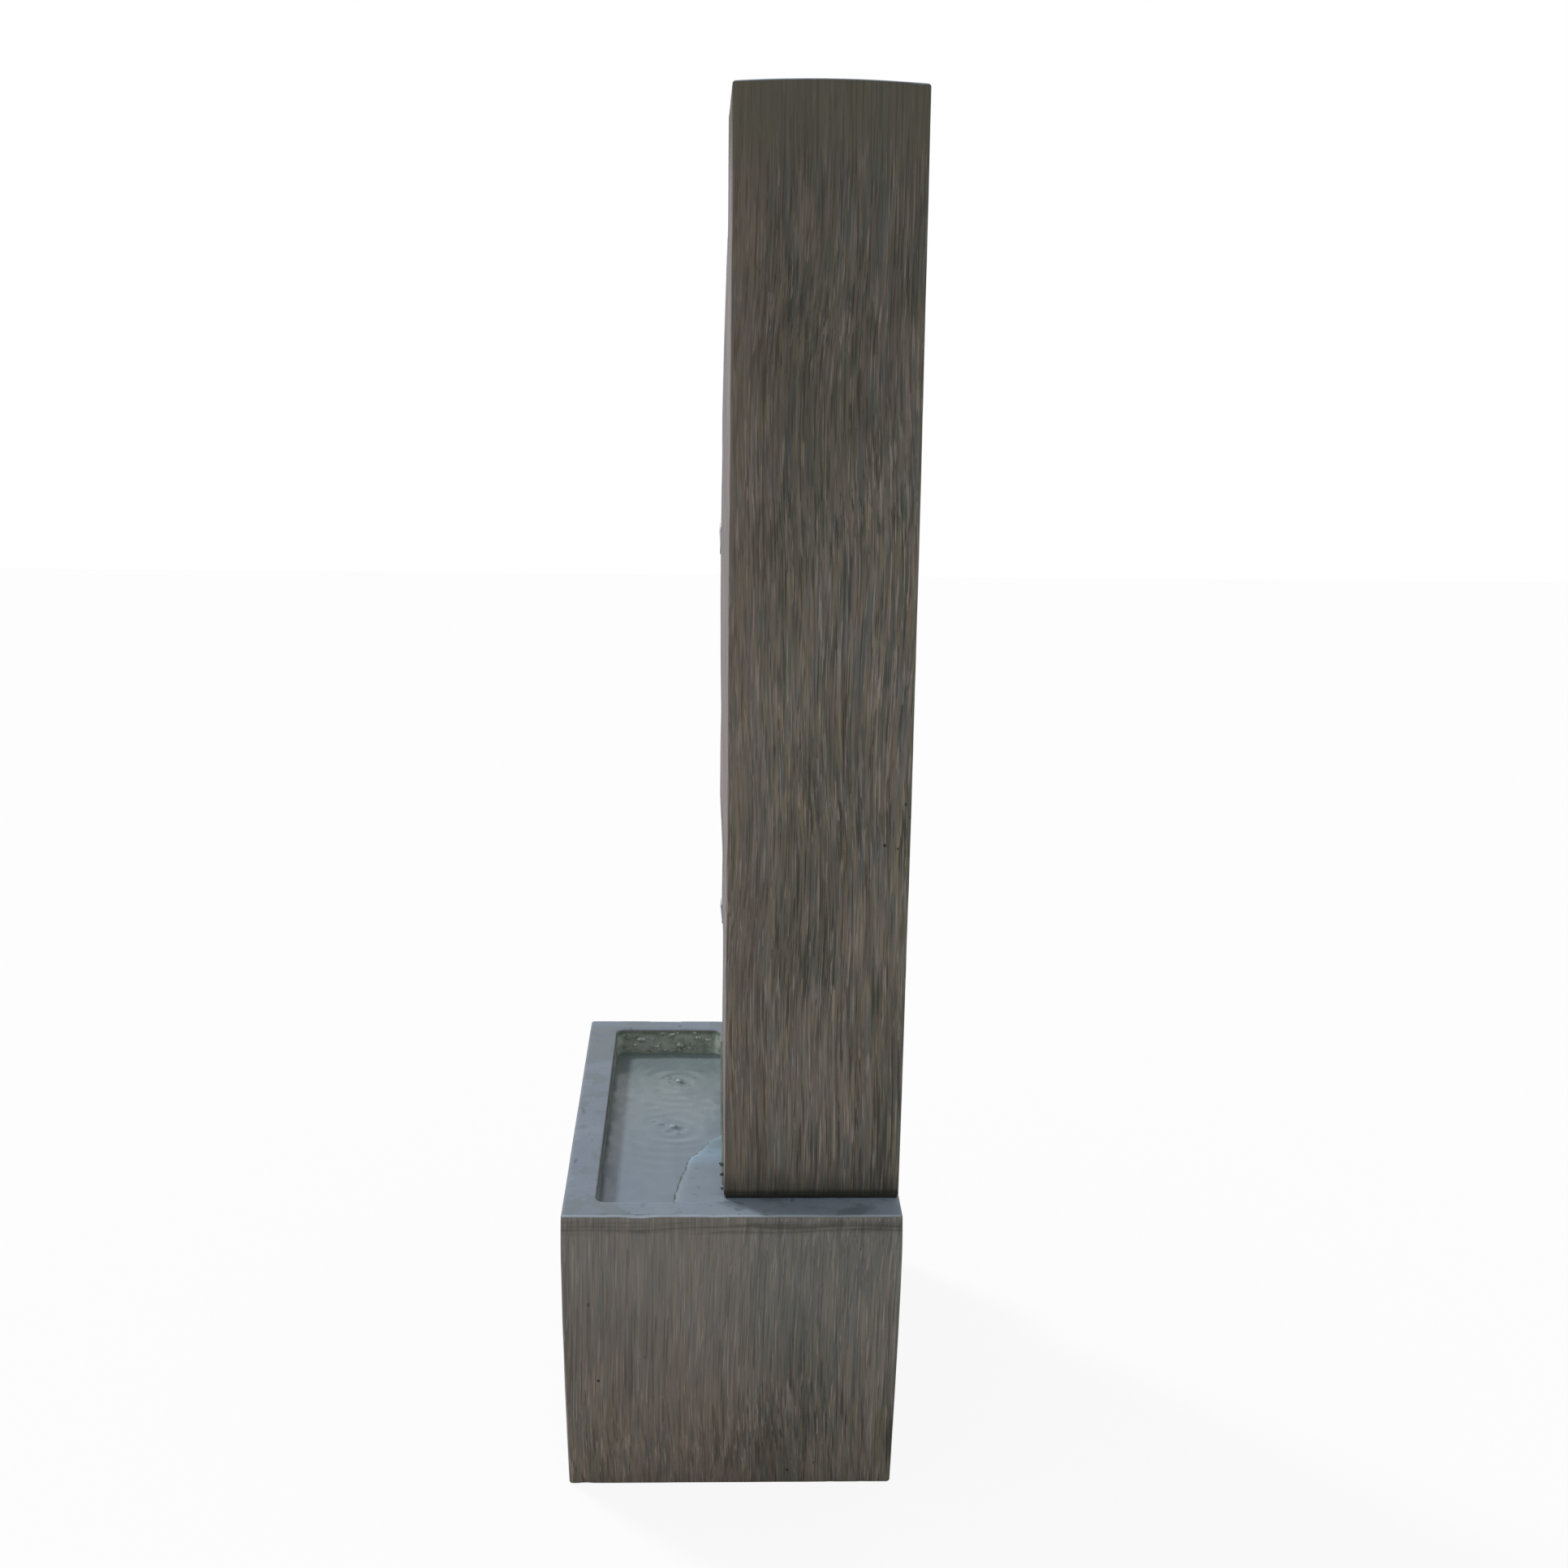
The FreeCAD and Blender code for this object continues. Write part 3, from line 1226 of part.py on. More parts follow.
def make_pump_motor():
    shell = box((at("0"), at("housing_length")), housing_y, housing_z)
    room = box((at("housing_front_wall"), at("housing_length")), inside_y, inside_z)
    well_tube = rod("x", axis_line, (at("0"), at(tube_end)), tube_radius)
    well = rod("x", axis_line, (at("0"), at("well_depth")), "well_radius")
    bush_seat = rod("x", axis_line, (at("well_depth"), at(well_end)), "shaft_bush_radius")
    tools = [well, bush_seat]
    low = housing_z[0]
    for spot in foot_places():
        tools.append(rod("z", spot, (low, f"{low} + foot_stud_length"),
                         "foot_stud_radius + screw_clearance"))
    for spot in cover_screw_places():
        tools.append(rod("x", spot, (at("0"), at("housing_front_wall")), "screw_radius + screw_clearance"))
    keep("pump_housing", cut(fuse([cut(shell, [room]), well_tube]), tools))

    cap = box((at(cap_face), at("housing_length")), inside_y, inside_z)
    gland_seat = rod("x", axis_line, (at(cap_face), at("housing_length")),
                     "gland_thread_radius + screw_clearance")
    keep("pump_end_cap", cut(cap, [gland_seat]))
    stub = rod("x", axis_line, (at(cap_face), at("housing_length")), "gland_thread_radius")
    dome_end = at("housing_length + gland_dome_length")
    dome = rod("x", axis_line, (at("housing_length"), dome_end), "gland_radius")
    tip = cone("x", axis_line, (dome_end, at("housing_length + gland_length")),
               "gland_radius", "gland_thread_radius")
    bore = rod("x", axis_line, (at(cap_face), at("housing_length + gland_length")), "gland_bore_radius")
    keep("pump_cable_gland", cut(fuse([stub, dome, tip]), [bore]))

    limb_in = f"({tube_radius} + core_gap)"
    limb_out = f"({limb_in} + core_limb_width)"
    yoke = (at(f"{tube_end} + coil_build + core_gap"),
            at(f"{tube_end} + coil_build + core_gap + core_yoke_width"))
    core_z = (f"{pump_z} - core_half_tall", f"{pump_z} + core_half_tall")
    limbs = [box((at("housing_front_wall + core_gap"), yoke[1]),
                 (f"{pump_y} - {limb_out}", f"{pump_y} - {limb_in}"), core_z),
             box((at("housing_front_wall + core_gap"), yoke[1]),
                 (f"{pump_y} + {limb_in}", f"{pump_y} + {limb_out}"), core_z),
             box(yoke, (f"{pump_y} - {limb_out}", f"{pump_y} + {limb_out}"), core_z)]
    core = keep("stator_core", fuse(limbs))
    coil_y = (f"{pump_y} - coil_half_length", f"{pump_y} + coil_half_length")
    coil = box((f"{yoke[0]} - coil_build", f"{yoke[1]} + coil_build / 2"), coil_y,
               (f"{core_z[0]} - coil_build", f"{core_z[1]} + coil_build"))
    eye = box(yoke, coil_y, core_z)
    winding = keep("stator_winding", cut(coil, [eye]))
    block = box((at("housing_front_wall"), at(cap_face)), inside_y, inside_z)
    keep("potting_resin", cut(block, [core, winding, rod("x", axis_line, (at("0"), at(tube_end)),
                                                         tube_radius)]))

    feet = []
    for spot in foot_places():
        cup = cone("z", spot, ("floor_thickness", low), "foot_radius", "foot_top_radius")
        stud = rod("z", spot, (low, f"{low} + foot_stud_length"), "foot_stud_radius")
        feet.append(fuse([cup, stud]))
    keep("suction_feet", group(feet), len(feet))


def make_pump_cover():
    drum = rod("x", axis_line, (at("-cover_length"), at("0")), "cover_radius")
    flange = box((at("-cover_flange_thickness"), at("0")), housing_y, housing_z)
    boss = rod("z", ("upper_mouth_x", hose_line), (pump_z, f"{pump_z} + outlet_height"),
               "outlet_boss_radius")
    spigot = rod("x", axis_line, (at("-cover_length - spigot_length"), at("-cover_length")),
                 "spigot_radius")
    eye_low = at("-cover_length - spigot_length")
    volute = rod("x", axis_line, (at("-volute_depth"), at("0")), "volute_radius")
    eye = rod("x", axis_line, (eye_low, at("0")), "intake_radius")
    outlet = rod("z", ("upper_mouth_x", hose_line), (pump_z, f"{pump_z} + outlet_height"),
                 "hose_bore_radius")
    groove = tube("x", axis_line, (at("-ring_groove"), at("0")),
                  "ring_radius + ring_groove / 2", "ring_radius - ring_groove / 2")
    holes = []
    for spot in cover_screw_places():
        holes.append(rod("x", spot, (at("-cover_flange_thickness"), at("0")),
                         "screw_radius + screw_clearance"))
    open_cover = cut(fuse([drum, flange, boss, spigot]), [volute, eye, outlet, groove] + holes)
    bush_x = (at("-cover_length"), at("-cover_length + shaft_bush_length"))
    hub = rod("x", axis_line, bush_x, "shaft_bush_radius + spoke_hub_wall")
    reach = "(intake_radius + spoke_overlap)"
    spokes = [box(bush_x, (f"{pump_y} - {reach}", f"{pump_y} + {reach}"),
                  (f"{pump_z} - spoke_width / 2", f"{pump_z} + spoke_width / 2")),
              box(bush_x, (f"{pump_y} - spoke_width / 2", f"{pump_y} + spoke_width / 2"),
                  (f"{pump_z} - {reach}", f"{pump_z} + {reach}"))]
    hub_hole = rod("x", axis_line, bush_x, "shaft_bush_radius")
    keep("volute_cover", fuse([open_cover, cut(fuse([hub] + spokes), [hub_hole])]))
    seat = at("-cover_flange_thickness")
    screws = [screw("x", spot, seat, 1) for spot in cover_screw_places()]
    keep("volute_screws", group(screws), len(screws))

    ring = doc.addObject("Part::Torus", "ring")
    bind(ring, "Radius1", "ring_radius")
    bind(ring, "Radius2", "ring_section_radius")
    place(ring, at("-ring_groove / 2"), pump_y, pump_z, turn=TURNS["x"])
    keep("volute_o_ring", ring)

    collar_low = f"({pump_z} + outlet_height)"
    stub = rod("z", ("upper_mouth_x", hose_line),
               (f"{collar_low} - outlet_stub_length", collar_low), barb_radius)
    collar = rod("z", ("upper_mouth_x", hose_line), (collar_low, riser_low), "collar_radius")
    stem = barb("z", ("upper_mouth_x", hose_line), riser_low, 1)
    bore = rod("z", ("upper_mouth_x", hose_line),
               (f"{collar_low} - outlet_stub_length", f"{riser_low} + barb_length"), "barb_bore_radius")
    keep("outlet_barb", cut(fuse([stub, collar] + stem), [bore]))


# Rotor: magnet and impeller turn together on a fixed shaft between two bushes
def make_rotor():
    bushes = [tube("x", axis_line, (at("-cover_length"), at("-cover_length + shaft_bush_length")),
                   "shaft_bush_radius", "shaft_radius"),
              tube("x", axis_line, (at("well_depth"), at(well_end)), "shaft_bush_radius", "shaft_radius")]
    keep("shaft_bushes", group(bushes), len(bushes))
    keep("rotor_shaft", rod("x", axis_line, (at("-cover_length"), at(well_end)), "shaft_radius"))
    bore_radius = "(shaft_radius + shaft_clearance)"
    magnet = tube("x", axis_line, (at("rotor_end_gap"), at("rotor_end_gap + magnet_length")),
                  "magnet_radius", bore_radius)
    keep("rotor_magnet", magnet)

    front = "(impeller_gap - volute_depth)"
    disc_low = f"({front} + vane_length)"
    disc_high = f"({disc_low} + impeller_disc_thickness)"
    body = new_body("impeller")
    hub = sketch_on(body, "XY_Plane", front)
    draw_circle(hub, "0", "0", "impeller_hub_radius")
    add_feature(body, "Pad", hub, f"rotor_end_gap - {front}")
    disc = sketch_on(body, "XY_Plane", disc_low)
    draw_circle(disc, "0", "0", "impeller_radius")
    add_feature(body, "Pad", disc, "impeller_disc_thickness")
    vane = sketch_on(body, "XY_Plane", front)
    root, tip = "impeller_hub_radius - vane_overlap", "impeller_radius - vane_tip_inset"
    draw_polygon(vane, [
        (root, "0"),
        (tip, "impeller_hub_radius"),
        (tip, "impeller_hub_radius + vane_thickness"),
        (root, "vane_thickness"),
    ])
    blade = add_feature(body, "Pad", vane, "vane_length")
    pattern = body.newObject("PartDesign::PolarPattern", "vanes")
    pattern.Originals = [blade]
    pattern.Axis = (hub, ["N_Axis"])
    pattern.Angle = 360
    pattern.Occurrences = int(number("vane_count"))
    body.Tip = pattern
    doc.recompute()
    bore = sketch_on(body, "XY_Plane", front)
    draw_circle(bore, "0", "0", bore_radius)
    add_feature(body, "Pocket", bore, f"rotor_end_gap - {front}", backwards=True)
    place(body, pump_x, pump_y, pump_z, turn=TURNS["x"])


# Strainer over the intake, with the dial that narrows its front windows
def make_intake():
    low = "(-cover_length - strainer_seat_gap - strainer_length)"
    high = "(-cover_length - strainer_seat_gap)"
    outer = box((at(low), at(high)), housing_y, housing_z)
    room = box((at(f"{low} + strainer_wall"), at(f"{high} - strainer_wall")),
               (f"{housing_y[0]} + strainer_wall", f"{housing_y[1]} - strainer_wall"),
               (f"{housing_z[0]} + strainer_wall", f"{housing_z[1]} - strainer_wall"))
    seat = rod("x", axis_line, (at(f"{high} - strainer_wall"), at(high)), "spigot_radius + screw_clearance")
    stem_hole = rod("x", axis_line, (at(low), at(f"{low} + strainer_wall")),
                    "dial_stem_radius + dial_stem_clearance")
    tools = [room, seat, stem_hole]
    front_wall = (at(low), at(f"{low} + strainer_wall"))
    windows = []
    for sign in "-+":
        spot = (pump_y, f"({pump_z} {sign} dial_window_offset)")
        tools.append(rod("x", spot, front_wall, "dial_window_radius"))
        windows.append(spot)
    slot_x = (at(f"{low} + strainer_wall * 2"), at(f"{high} - strainer_wall * 2"))
    for index in range(int(number("slot_count"))):
        shift = f"({index} - (slot_count - 1) / 2) * slot_pitch"
        tools.append(box(slot_x, housing_y,
                         (f"{pump_z} + {shift} - slot_width / 2", f"{pump_z} + {shift} + slot_width / 2")))
        tools.append(box(slot_x, (f"{pump_y} + {shift} - slot_width / 2",
                                  f"{pump_y} + {shift} + slot_width / 2"), housing_z))
    keep("intake_strainer", cut(outer, tools))

    face = f"({low} - dial_gap)"
    disc = rod("x", axis_line, (at(f"{face} - dial_thickness"), at(face)), "dial_radius")
    stem = rod("x", axis_line, (at(face), at(f"{low} + strainer_wall + dial_gap")), "dial_stem_radius")
    catch = cone("x", axis_line, (at(f"{low} + strainer_wall + dial_gap"),
                                  at(f"{low} + strainer_wall + dial_gap + dial_thickness")),
                 "dial_catch_radius", "dial_stem_radius")
    grip = box((at(f"{face} - dial_thickness - grip_height"), at(f"{face} - dial_thickness")),
               (f"{pump_y} - grip_length / 2", f"{pump_y} + grip_length / 2"),
               (f"{pump_z} - grip_width / 2", f"{pump_z} + grip_width / 2"))
    holes = [rod("x", spot, (at(f"{face} - dial_thickness"), at(face)), "dial_window_radius")
             for spot in windows]
    keep("flow_dial", cut(fuse([disc, stem, catch, grip]), holes))


# Build every sub-part
make_basin()
make_partition()
make_deck()
make_ledge()
make_foot_joint()
make_drain()
make_column()
make_back()
make_bowls()
make_tails()
make_elbow()
make_hoses()
make_branch_fittings()
make_clips()
make_pump_motor()
make_pump_cover()
make_rotor()
make_intake()
doc.recompute()

# Check everything before a file is written
for item in doc.Objects:
    if any(word in item.State for word in ("Invalid", "Error")):
        raise RuntimeError(f"{item.Label} ({item.TypeId}) failed: {item.State}")
for node, item in parts.items():
    shape = item.Shape
    if shape.isNull() or not shape.isValid():
        raise RuntimeError(f"{node} has no valid shape")
    if len(shape.Solids) != solids_expected[node]:
        raise RuntimeError(f"{node} has {len(shape.Solids)} solids, not {solids_expected[node]}")

os.makedirs("parts", exist_ok=True)
for node, item in parts.items():
    item.Shape.exportStep(f"parts/{node}.step")
    bounds = item.Shape.BoundBox
    print(f"{node}: {item.Shape.Volume / 1000:.2f} cm3, "
          f"x {bounds.XMin:.1f} {bounds.XMax:.1f}, y {bounds.YMin:.1f} {bounds.YMax:.1f}, "
          f"z {bounds.ZMin:.1f} {bounds.ZMax:.1f}")
print(f"{len(parts)} sub-parts written")
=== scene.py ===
# %% [markdown]
# # Garden wall fountain
# A slab column of cast stone stands on the back of a rectangular basin. Two oval
# mouths in its front face spill water into the pool, and a pump under the deck
# lifts the water back up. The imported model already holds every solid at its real
# size, so this script gives each one its finish, and remodels the cast pieces with
# the soft edges, brushed faces and small flaws that a mould and a wire brush leave.

# %% Load the frame
import math

import bmesh
import bpy
from mathutils import Matrix, Vector, noise


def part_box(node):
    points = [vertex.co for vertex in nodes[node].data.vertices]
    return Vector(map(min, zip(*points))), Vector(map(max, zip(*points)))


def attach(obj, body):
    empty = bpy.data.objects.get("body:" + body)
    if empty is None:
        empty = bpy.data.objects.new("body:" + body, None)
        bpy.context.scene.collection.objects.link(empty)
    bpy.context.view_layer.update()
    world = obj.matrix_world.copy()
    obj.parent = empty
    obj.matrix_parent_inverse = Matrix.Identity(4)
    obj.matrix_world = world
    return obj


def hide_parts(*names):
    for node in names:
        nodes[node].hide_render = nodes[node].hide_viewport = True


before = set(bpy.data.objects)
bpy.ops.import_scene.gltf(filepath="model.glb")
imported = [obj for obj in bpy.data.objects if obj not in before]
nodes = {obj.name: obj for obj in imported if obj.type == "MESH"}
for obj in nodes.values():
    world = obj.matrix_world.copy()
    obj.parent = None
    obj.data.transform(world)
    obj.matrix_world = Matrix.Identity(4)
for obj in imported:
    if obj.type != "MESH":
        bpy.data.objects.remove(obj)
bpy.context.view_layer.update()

# %% [markdown]
# ## Camera
# The picture was taken from the right of the fountain, facing the middle of its side
# and looking down a little from just under the top of the column. A camera is a place,
# a direction and a focal length. The direction is given here as three small angles,
# and the two axes across it follow from cross products, which keeps the roll as plain
# as the other two.

# %% Camera
CAMERA_PLACE = Vector((2.16663, -0.02285, 1.21776))
CAMERA_YAW = 0.03569
CAMERA_PITCH = 0.24731
CAMERA_ROLL = 0.01457
FOCAL_LENGTH = 48.0576
SENSOR_WIDTH = 36.0


def look_direction(yaw, pitch):
    return Vector((-math.cos(yaw) * math.cos(pitch), math.sin(yaw) * math.cos(pitch), -math.sin(pitch)))


def add_camera():
    data = bpy.data.cameras.new("camera")
    data.lens = FOCAL_LENGTH
    data.sensor_width = SENSOR_WIDTH
    camera = bpy.data.objects.new("camera", data)
    bpy.context.collection.objects.link(camera)
    ahead = look_direction(CAMERA_YAW, CAMERA_PITCH)
    level_right = ahead.cross(Vector((0, 0, 1))).normalized()
    level_up = level_right.cross(ahead)
    right = level_right * math.cos(CAMERA_ROLL) + level_up * math.sin(CAMERA_ROLL)
    up = level_up * math.cos(CAMERA_ROLL) - level_right * math.sin(CAMERA_ROLL)
    turn = Matrix((right, up, -ahead)).transposed().to_4x4()
    camera.matrix_world = Matrix.Translation(CAMERA_PLACE) @ turn
    bpy.context.scene.camera = camera
    return camera


print("camera", add_camera().location[:])

# %% [markdown]
# ## Light, floor and backdrop
# The fountain stands in soft daylight. One low-contrast sun comes from the front and
# far side, so the side that the camera sees lies in open shade, and the even sky of
# the world fills it. The floor shows almost white to the camera, but it is a real
# pale floor to everything else, so it bounces light and keeps a faint shadow.

# %% Light, floor and backdrop
SKY_STRENGTH = 0.62
SUN_STRENGTH = 1.7
SUN_SOFTNESS = math.radians(9)
SUN_TRAVEL = Vector((1.0, 1.0, -1.55))
FLOOR_HALF = 6.0
WHITE_SHARE = 0.9


def add_sun():
    data = bpy.data.lights.new("key", "SUN")
    data.energy = SUN_STRENGTH
    data.angle = SUN_SOFTNESS
    sun = bpy.data.objects.new("key", data)
    sun.rotation_euler = SUN_TRAVEL.to_track_quat("-Z", "Y").to_euler()
    bpy.context.collection.objects.link(sun)


add_sun()
print("sun strength", SUN_STRENGTH)

# %% [markdown]
# ## Shader maths written as Python
# A material is a net of nodes, and a long one is hard to read as links. `Value` wraps
# one output socket and overloads + - and *, so that an expression such as
# `1 - mask * 0.5` adds its Math nodes by itself. `Finish` starts a material and has one
# method that adds any other node from its type, its settings and its sockets.

# %% Shader helpers
class Value:
    """An output socket that Python's operators can be used on."""

    def __init__(self, finish, socket):
        self.finish = finish
        self.socket = socket

    def math(self, operation, *others):
        sockets = dict(enumerate((self, *others)))
        return self.finish.node("ShaderNodeMath", {"operation": operation}, sockets)

    def __add__(self, other):
        return self.math("ADD", other)

    __radd__ = __add__

    def __mul__(self, other):
        return self.math("MULTIPLY", other)

    __rmul__ = __mul__

    def __sub__(self, other):
        return self.math("SUBTRACT", other)

    def __rsub__(self, other):
        return self.finish.node("ShaderNodeMath", {"operation": "SUBTRACT"}, {0: other, 1: self})

    def at_least(self, other):
        return self.math("MAXIMUM", other)


class Finish:
    """A new material with a Principled shader."""

    def __init__(self, name, roughness=0.6, metallic=0.0, specular=0.5):
        self.material = bpy.data.materials.new(name)
        self.material.use_nodes = True
        self.tree = self.material.node_tree
        self.shader = self.tree.nodes["Principled BSDF"]
        self.shader.inputs["Roughness"].default_value = roughness
        self.shader.inputs["Metallic"].default_value = metallic
        self.shader.inputs["Specular IOR Level"].default_value = specular
        self.place = self.node("ShaderNodeTexCoord", out="Object")

    def node(self, kind, settings=None, sockets=None, out=0):
        item = self.tree.nodes.new(kind)
        for name, setting in (settings or {}).items():
            if name == "stops":
                self.set_stops(item.color_ramp, setting)
            else:
                setattr(item, name, setting)
        for name, value in (sockets or {}).items():
            if isinstance(value, Value):
                self.tree.links.new(value.socket, item.inputs[name])
            else:
                item.inputs[name].default_value = value
        return Value(self, item.outputs[out])

    def set_stops(self, ramp, stops):
        for _ in stops[2:]:
            ramp.elements.new(0.5)
        for element, (position, colour) in zip(ramp.elements, stops):
            element.position = position
            element.color = colour

    def give(self, name, value):
        """Feeds one socket of the shader, or sets it where the value is plain."""
        if isinstance(value, Value):
            self.tree.links.new(value.socket, self.shader.inputs[name])
        else:
            self.shader.inputs[name].default_value = value

    def done(self, colour, roughness, relief=None, depth=0.0, strength=1.0):
        """Feeds the shader its colour, roughness and relief, and returns the material."""
        self.give("Base Color", colour)
        self.give("Roughness", roughness)
        if relief is not None:
            self.give("Normal", self.bump(relief, depth, strength))
        return self.material

    def facing(self):
        """Which way the surface faced when the mesh was made, as three numbers from -1 to 1."""
        return self.axes(self.node("ShaderNodeAttribute", {"attribute_name": "facing"}, out="Vector"))

    def axes(self, vector):
        item = self.tree.nodes.new("ShaderNodeSeparateXYZ")
        self.tree.links.new(vector.socket, item.inputs[0])
        return [Value(self, output) for output in item.outputs]

    def stretched(self, scale, shift=(0, 0, 0)):
        """The object's own place, scaled by a different amount along each axis."""
        return self.node("ShaderNodeMapping", {}, {
            "Vector": self.place, "Scale": scale, "Location": shift})

    def sway(self, scale, amount):
        """Moves all that follows sideways by a slow noise, so that no line runs dead straight."""
        drift = (self.noise(scale, (1, 1, 0.6), detail=1.0) - 0.5) * amount
        self.place = self.node("ShaderNodeVectorMath", {"operation": "ADD"}, {0: self.place, 1: drift})

    def noise(self, scale, stretch=(1, 1, 1), detail=2.0, rough=0.5, shift=(0, 0, 0), warp=0.0):
        return self.node("ShaderNodeTexNoise", {}, {
            "Vector": self.stretched(stretch, shift), "Scale": scale, "Detail": detail,
            "Roughness": rough, "Distortion": warp})

    def cells(self, scale):
        """The distance to the nearest of many scattered points."""
        sockets = {"Vector": self.place, "Scale": scale}
        return self.node("ShaderNodeTexVoronoi", {}, sockets, out="Distance")

    def step(self, value, low, high, start=0.0, end=1.0):
        """A soft step from start to end while value goes from low to high."""
        return self.node("ShaderNodeMapRange", {"interpolation_type": "SMOOTHSTEP"}, {
            "Value": value, "From Min": low, "From Max": high, "To Min": start, "To Max": end})

    def blend(self, factor, first, second, mode="MIX"):
        return self.node("ShaderNodeMix", {"data_type": "RGBA", "blend_type": mode},
                         {0: factor, 6: first, 7: second}, out=2)

    def ramp(self, factor, *stops):
        """A colour that goes through the stops, each a place from 0 to 1 and a colour."""
        return self.node("ShaderNodeValToRGB", {"stops": stops}, {0: factor})

    def bump(self, height, distance, strength=1.0):
        return self.node("ShaderNodeBump", {}, {
            "Height": height, "Distance": distance, "Strength": strength})


def paint(red, green, blue):
    """A colour picked as the screen shows it, turned into the linear one that shaders use."""
    def linear(level):
        share = level / 255
        return share / 12.92 if share <= 0.04045 else ((share + 0.055) / 1.055) ** 2.4
    return (linear(red), linear(green), linear(blue), 1.0)


print("a mid grey is", paint(128, 128, 128))

# %% [markdown]
# ## Floor and world
# With the helpers in place, the floor and the world can be told to look white to the
# camera and in mirrors. Light Path says what kind of ray is asking.

# %% Floor and world
def shown_to_eye(finish):
    """1 for rays that reach the eye straight, by a mirror or through glass."""
    kinds = [finish.node("ShaderNodeLightPath", out=name)
             for name in ("Is Camera Ray", "Is Glossy Ray", "Is Transmission Ray")]
    return kinds[0].at_least(kinds[1]).at_least(kinds[2])


def add_floor():
    finish = Finish("floor", roughness=0.9, specular=0.0)
    finish.give("Base Color", paint(232, 232, 232))
    glow = finish.node("ShaderNodeEmission", {}, {"Color": (1, 1, 1, 1), "Strength": 1.0})
    share = finish.node("ShaderNodeLightPath", out="Is Camera Ray") * WHITE_SHARE
    lit = Value(finish, finish.shader.outputs[0])
    mixed = finish.node("ShaderNodeMixShader", {}, {0: share, 1: lit, 2: glow})
    finish.tree.links.new(mixed.socket, finish.tree.nodes["Material Output"].inputs["Surface"])
    bm = bmesh.new()
    bmesh.ops.create_grid(bm, x_segments=1, y_segments=1, size=FLOOR_HALF)
    mesh = bpy.data.meshes.new("floor")
    bm.to_mesh(mesh)
    bm.free()
    mesh.materials.append(finish.material)
    floor = bpy.data.objects.new("floor", mesh)
    bpy.context.collection.objects.link(floor)


class World(Finish):
    """The same helpers on the world's own node tree."""

    def __init__(self):
        self.world = bpy.data.worlds.new("sky")
        self.world.use_nodes = True
        self.tree = self.world.node_tree
        bpy.context.scene.world = self.world


def add_sky():
    sky = World()
    background = sky.tree.nodes["Background"]
    background.inputs["Color"].default_value = (1, 1, 1, 1)
    strength = SKY_STRENGTH + (1 - SKY_STRENGTH) * shown_to_eye(sky)
    sky.tree.links.new(strength.socket, background.inputs["Strength"])


add_floor()
add_sky()
bpy.context.scene.view_settings.view_transform = "Standard"
print("sky strength", SKY_STRENGTH)

# %% [markdown]
# ## The cast stone
# The stone is a fine concrete. Its upright faces were brushed while it was green, which
# left thin upright streaks of brown, grey and faint green. Its level faces were
# trowelled smooth, and their pale blue grey is partly their own tone and partly painted
# sky light; the front is painted paler as painted sunlight. One material does all of it:
# each mesh carries `facing`, the way each spot faces, and height adds the smoother band
# at the top of the column, the scratched brow under the rim, the darker foot and a
# painted shade line where the column meets the deck.
# Inside the pool the same stone is pale green with algae, down to the water, and painted
# much lighter there as painted sky light.

# %% Sizes that the finishes share
COLUMN_LOW, COLUMN_HIGH = (Vector(corner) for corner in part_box("column_shell"))
BASIN_LOW, BASIN_HIGH = (Vector(corner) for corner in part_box("basin_shell"))
RIM = BASIN_HIGH.z
RIM_WIDTH = 0.034
FLOOR = 0.030
POOL_LOW = Vector((BASIN_LOW.x + RIM_WIDTH, BASIN_LOW.y + RIM_WIDTH, FLOOR))
POOL_HIGH = Vector((BASIN_HIGH.x - RIM_WIDTH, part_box("chamber_wall")[0][1], RIM))
WATER_LEVEL = 0.270
TOP_BAND = 0.055
FOOT_BAND = 0.05
print(f"pool {POOL_HIGH.x - POOL_LOW.x:.3f} by {POOL_HIGH.y - POOL_LOW.y:.3f} m")

# %% Brushed faces
def streaks(finish, scale, length, shift=(0, 0, 0), detail=2.0):
    """Upright brush marks: noise that changes fast across and slowly up the face."""
    return finish.noise(scale, (1, 1, length), detail=detail, rough=0.55, shift=shift, warp=0.3)


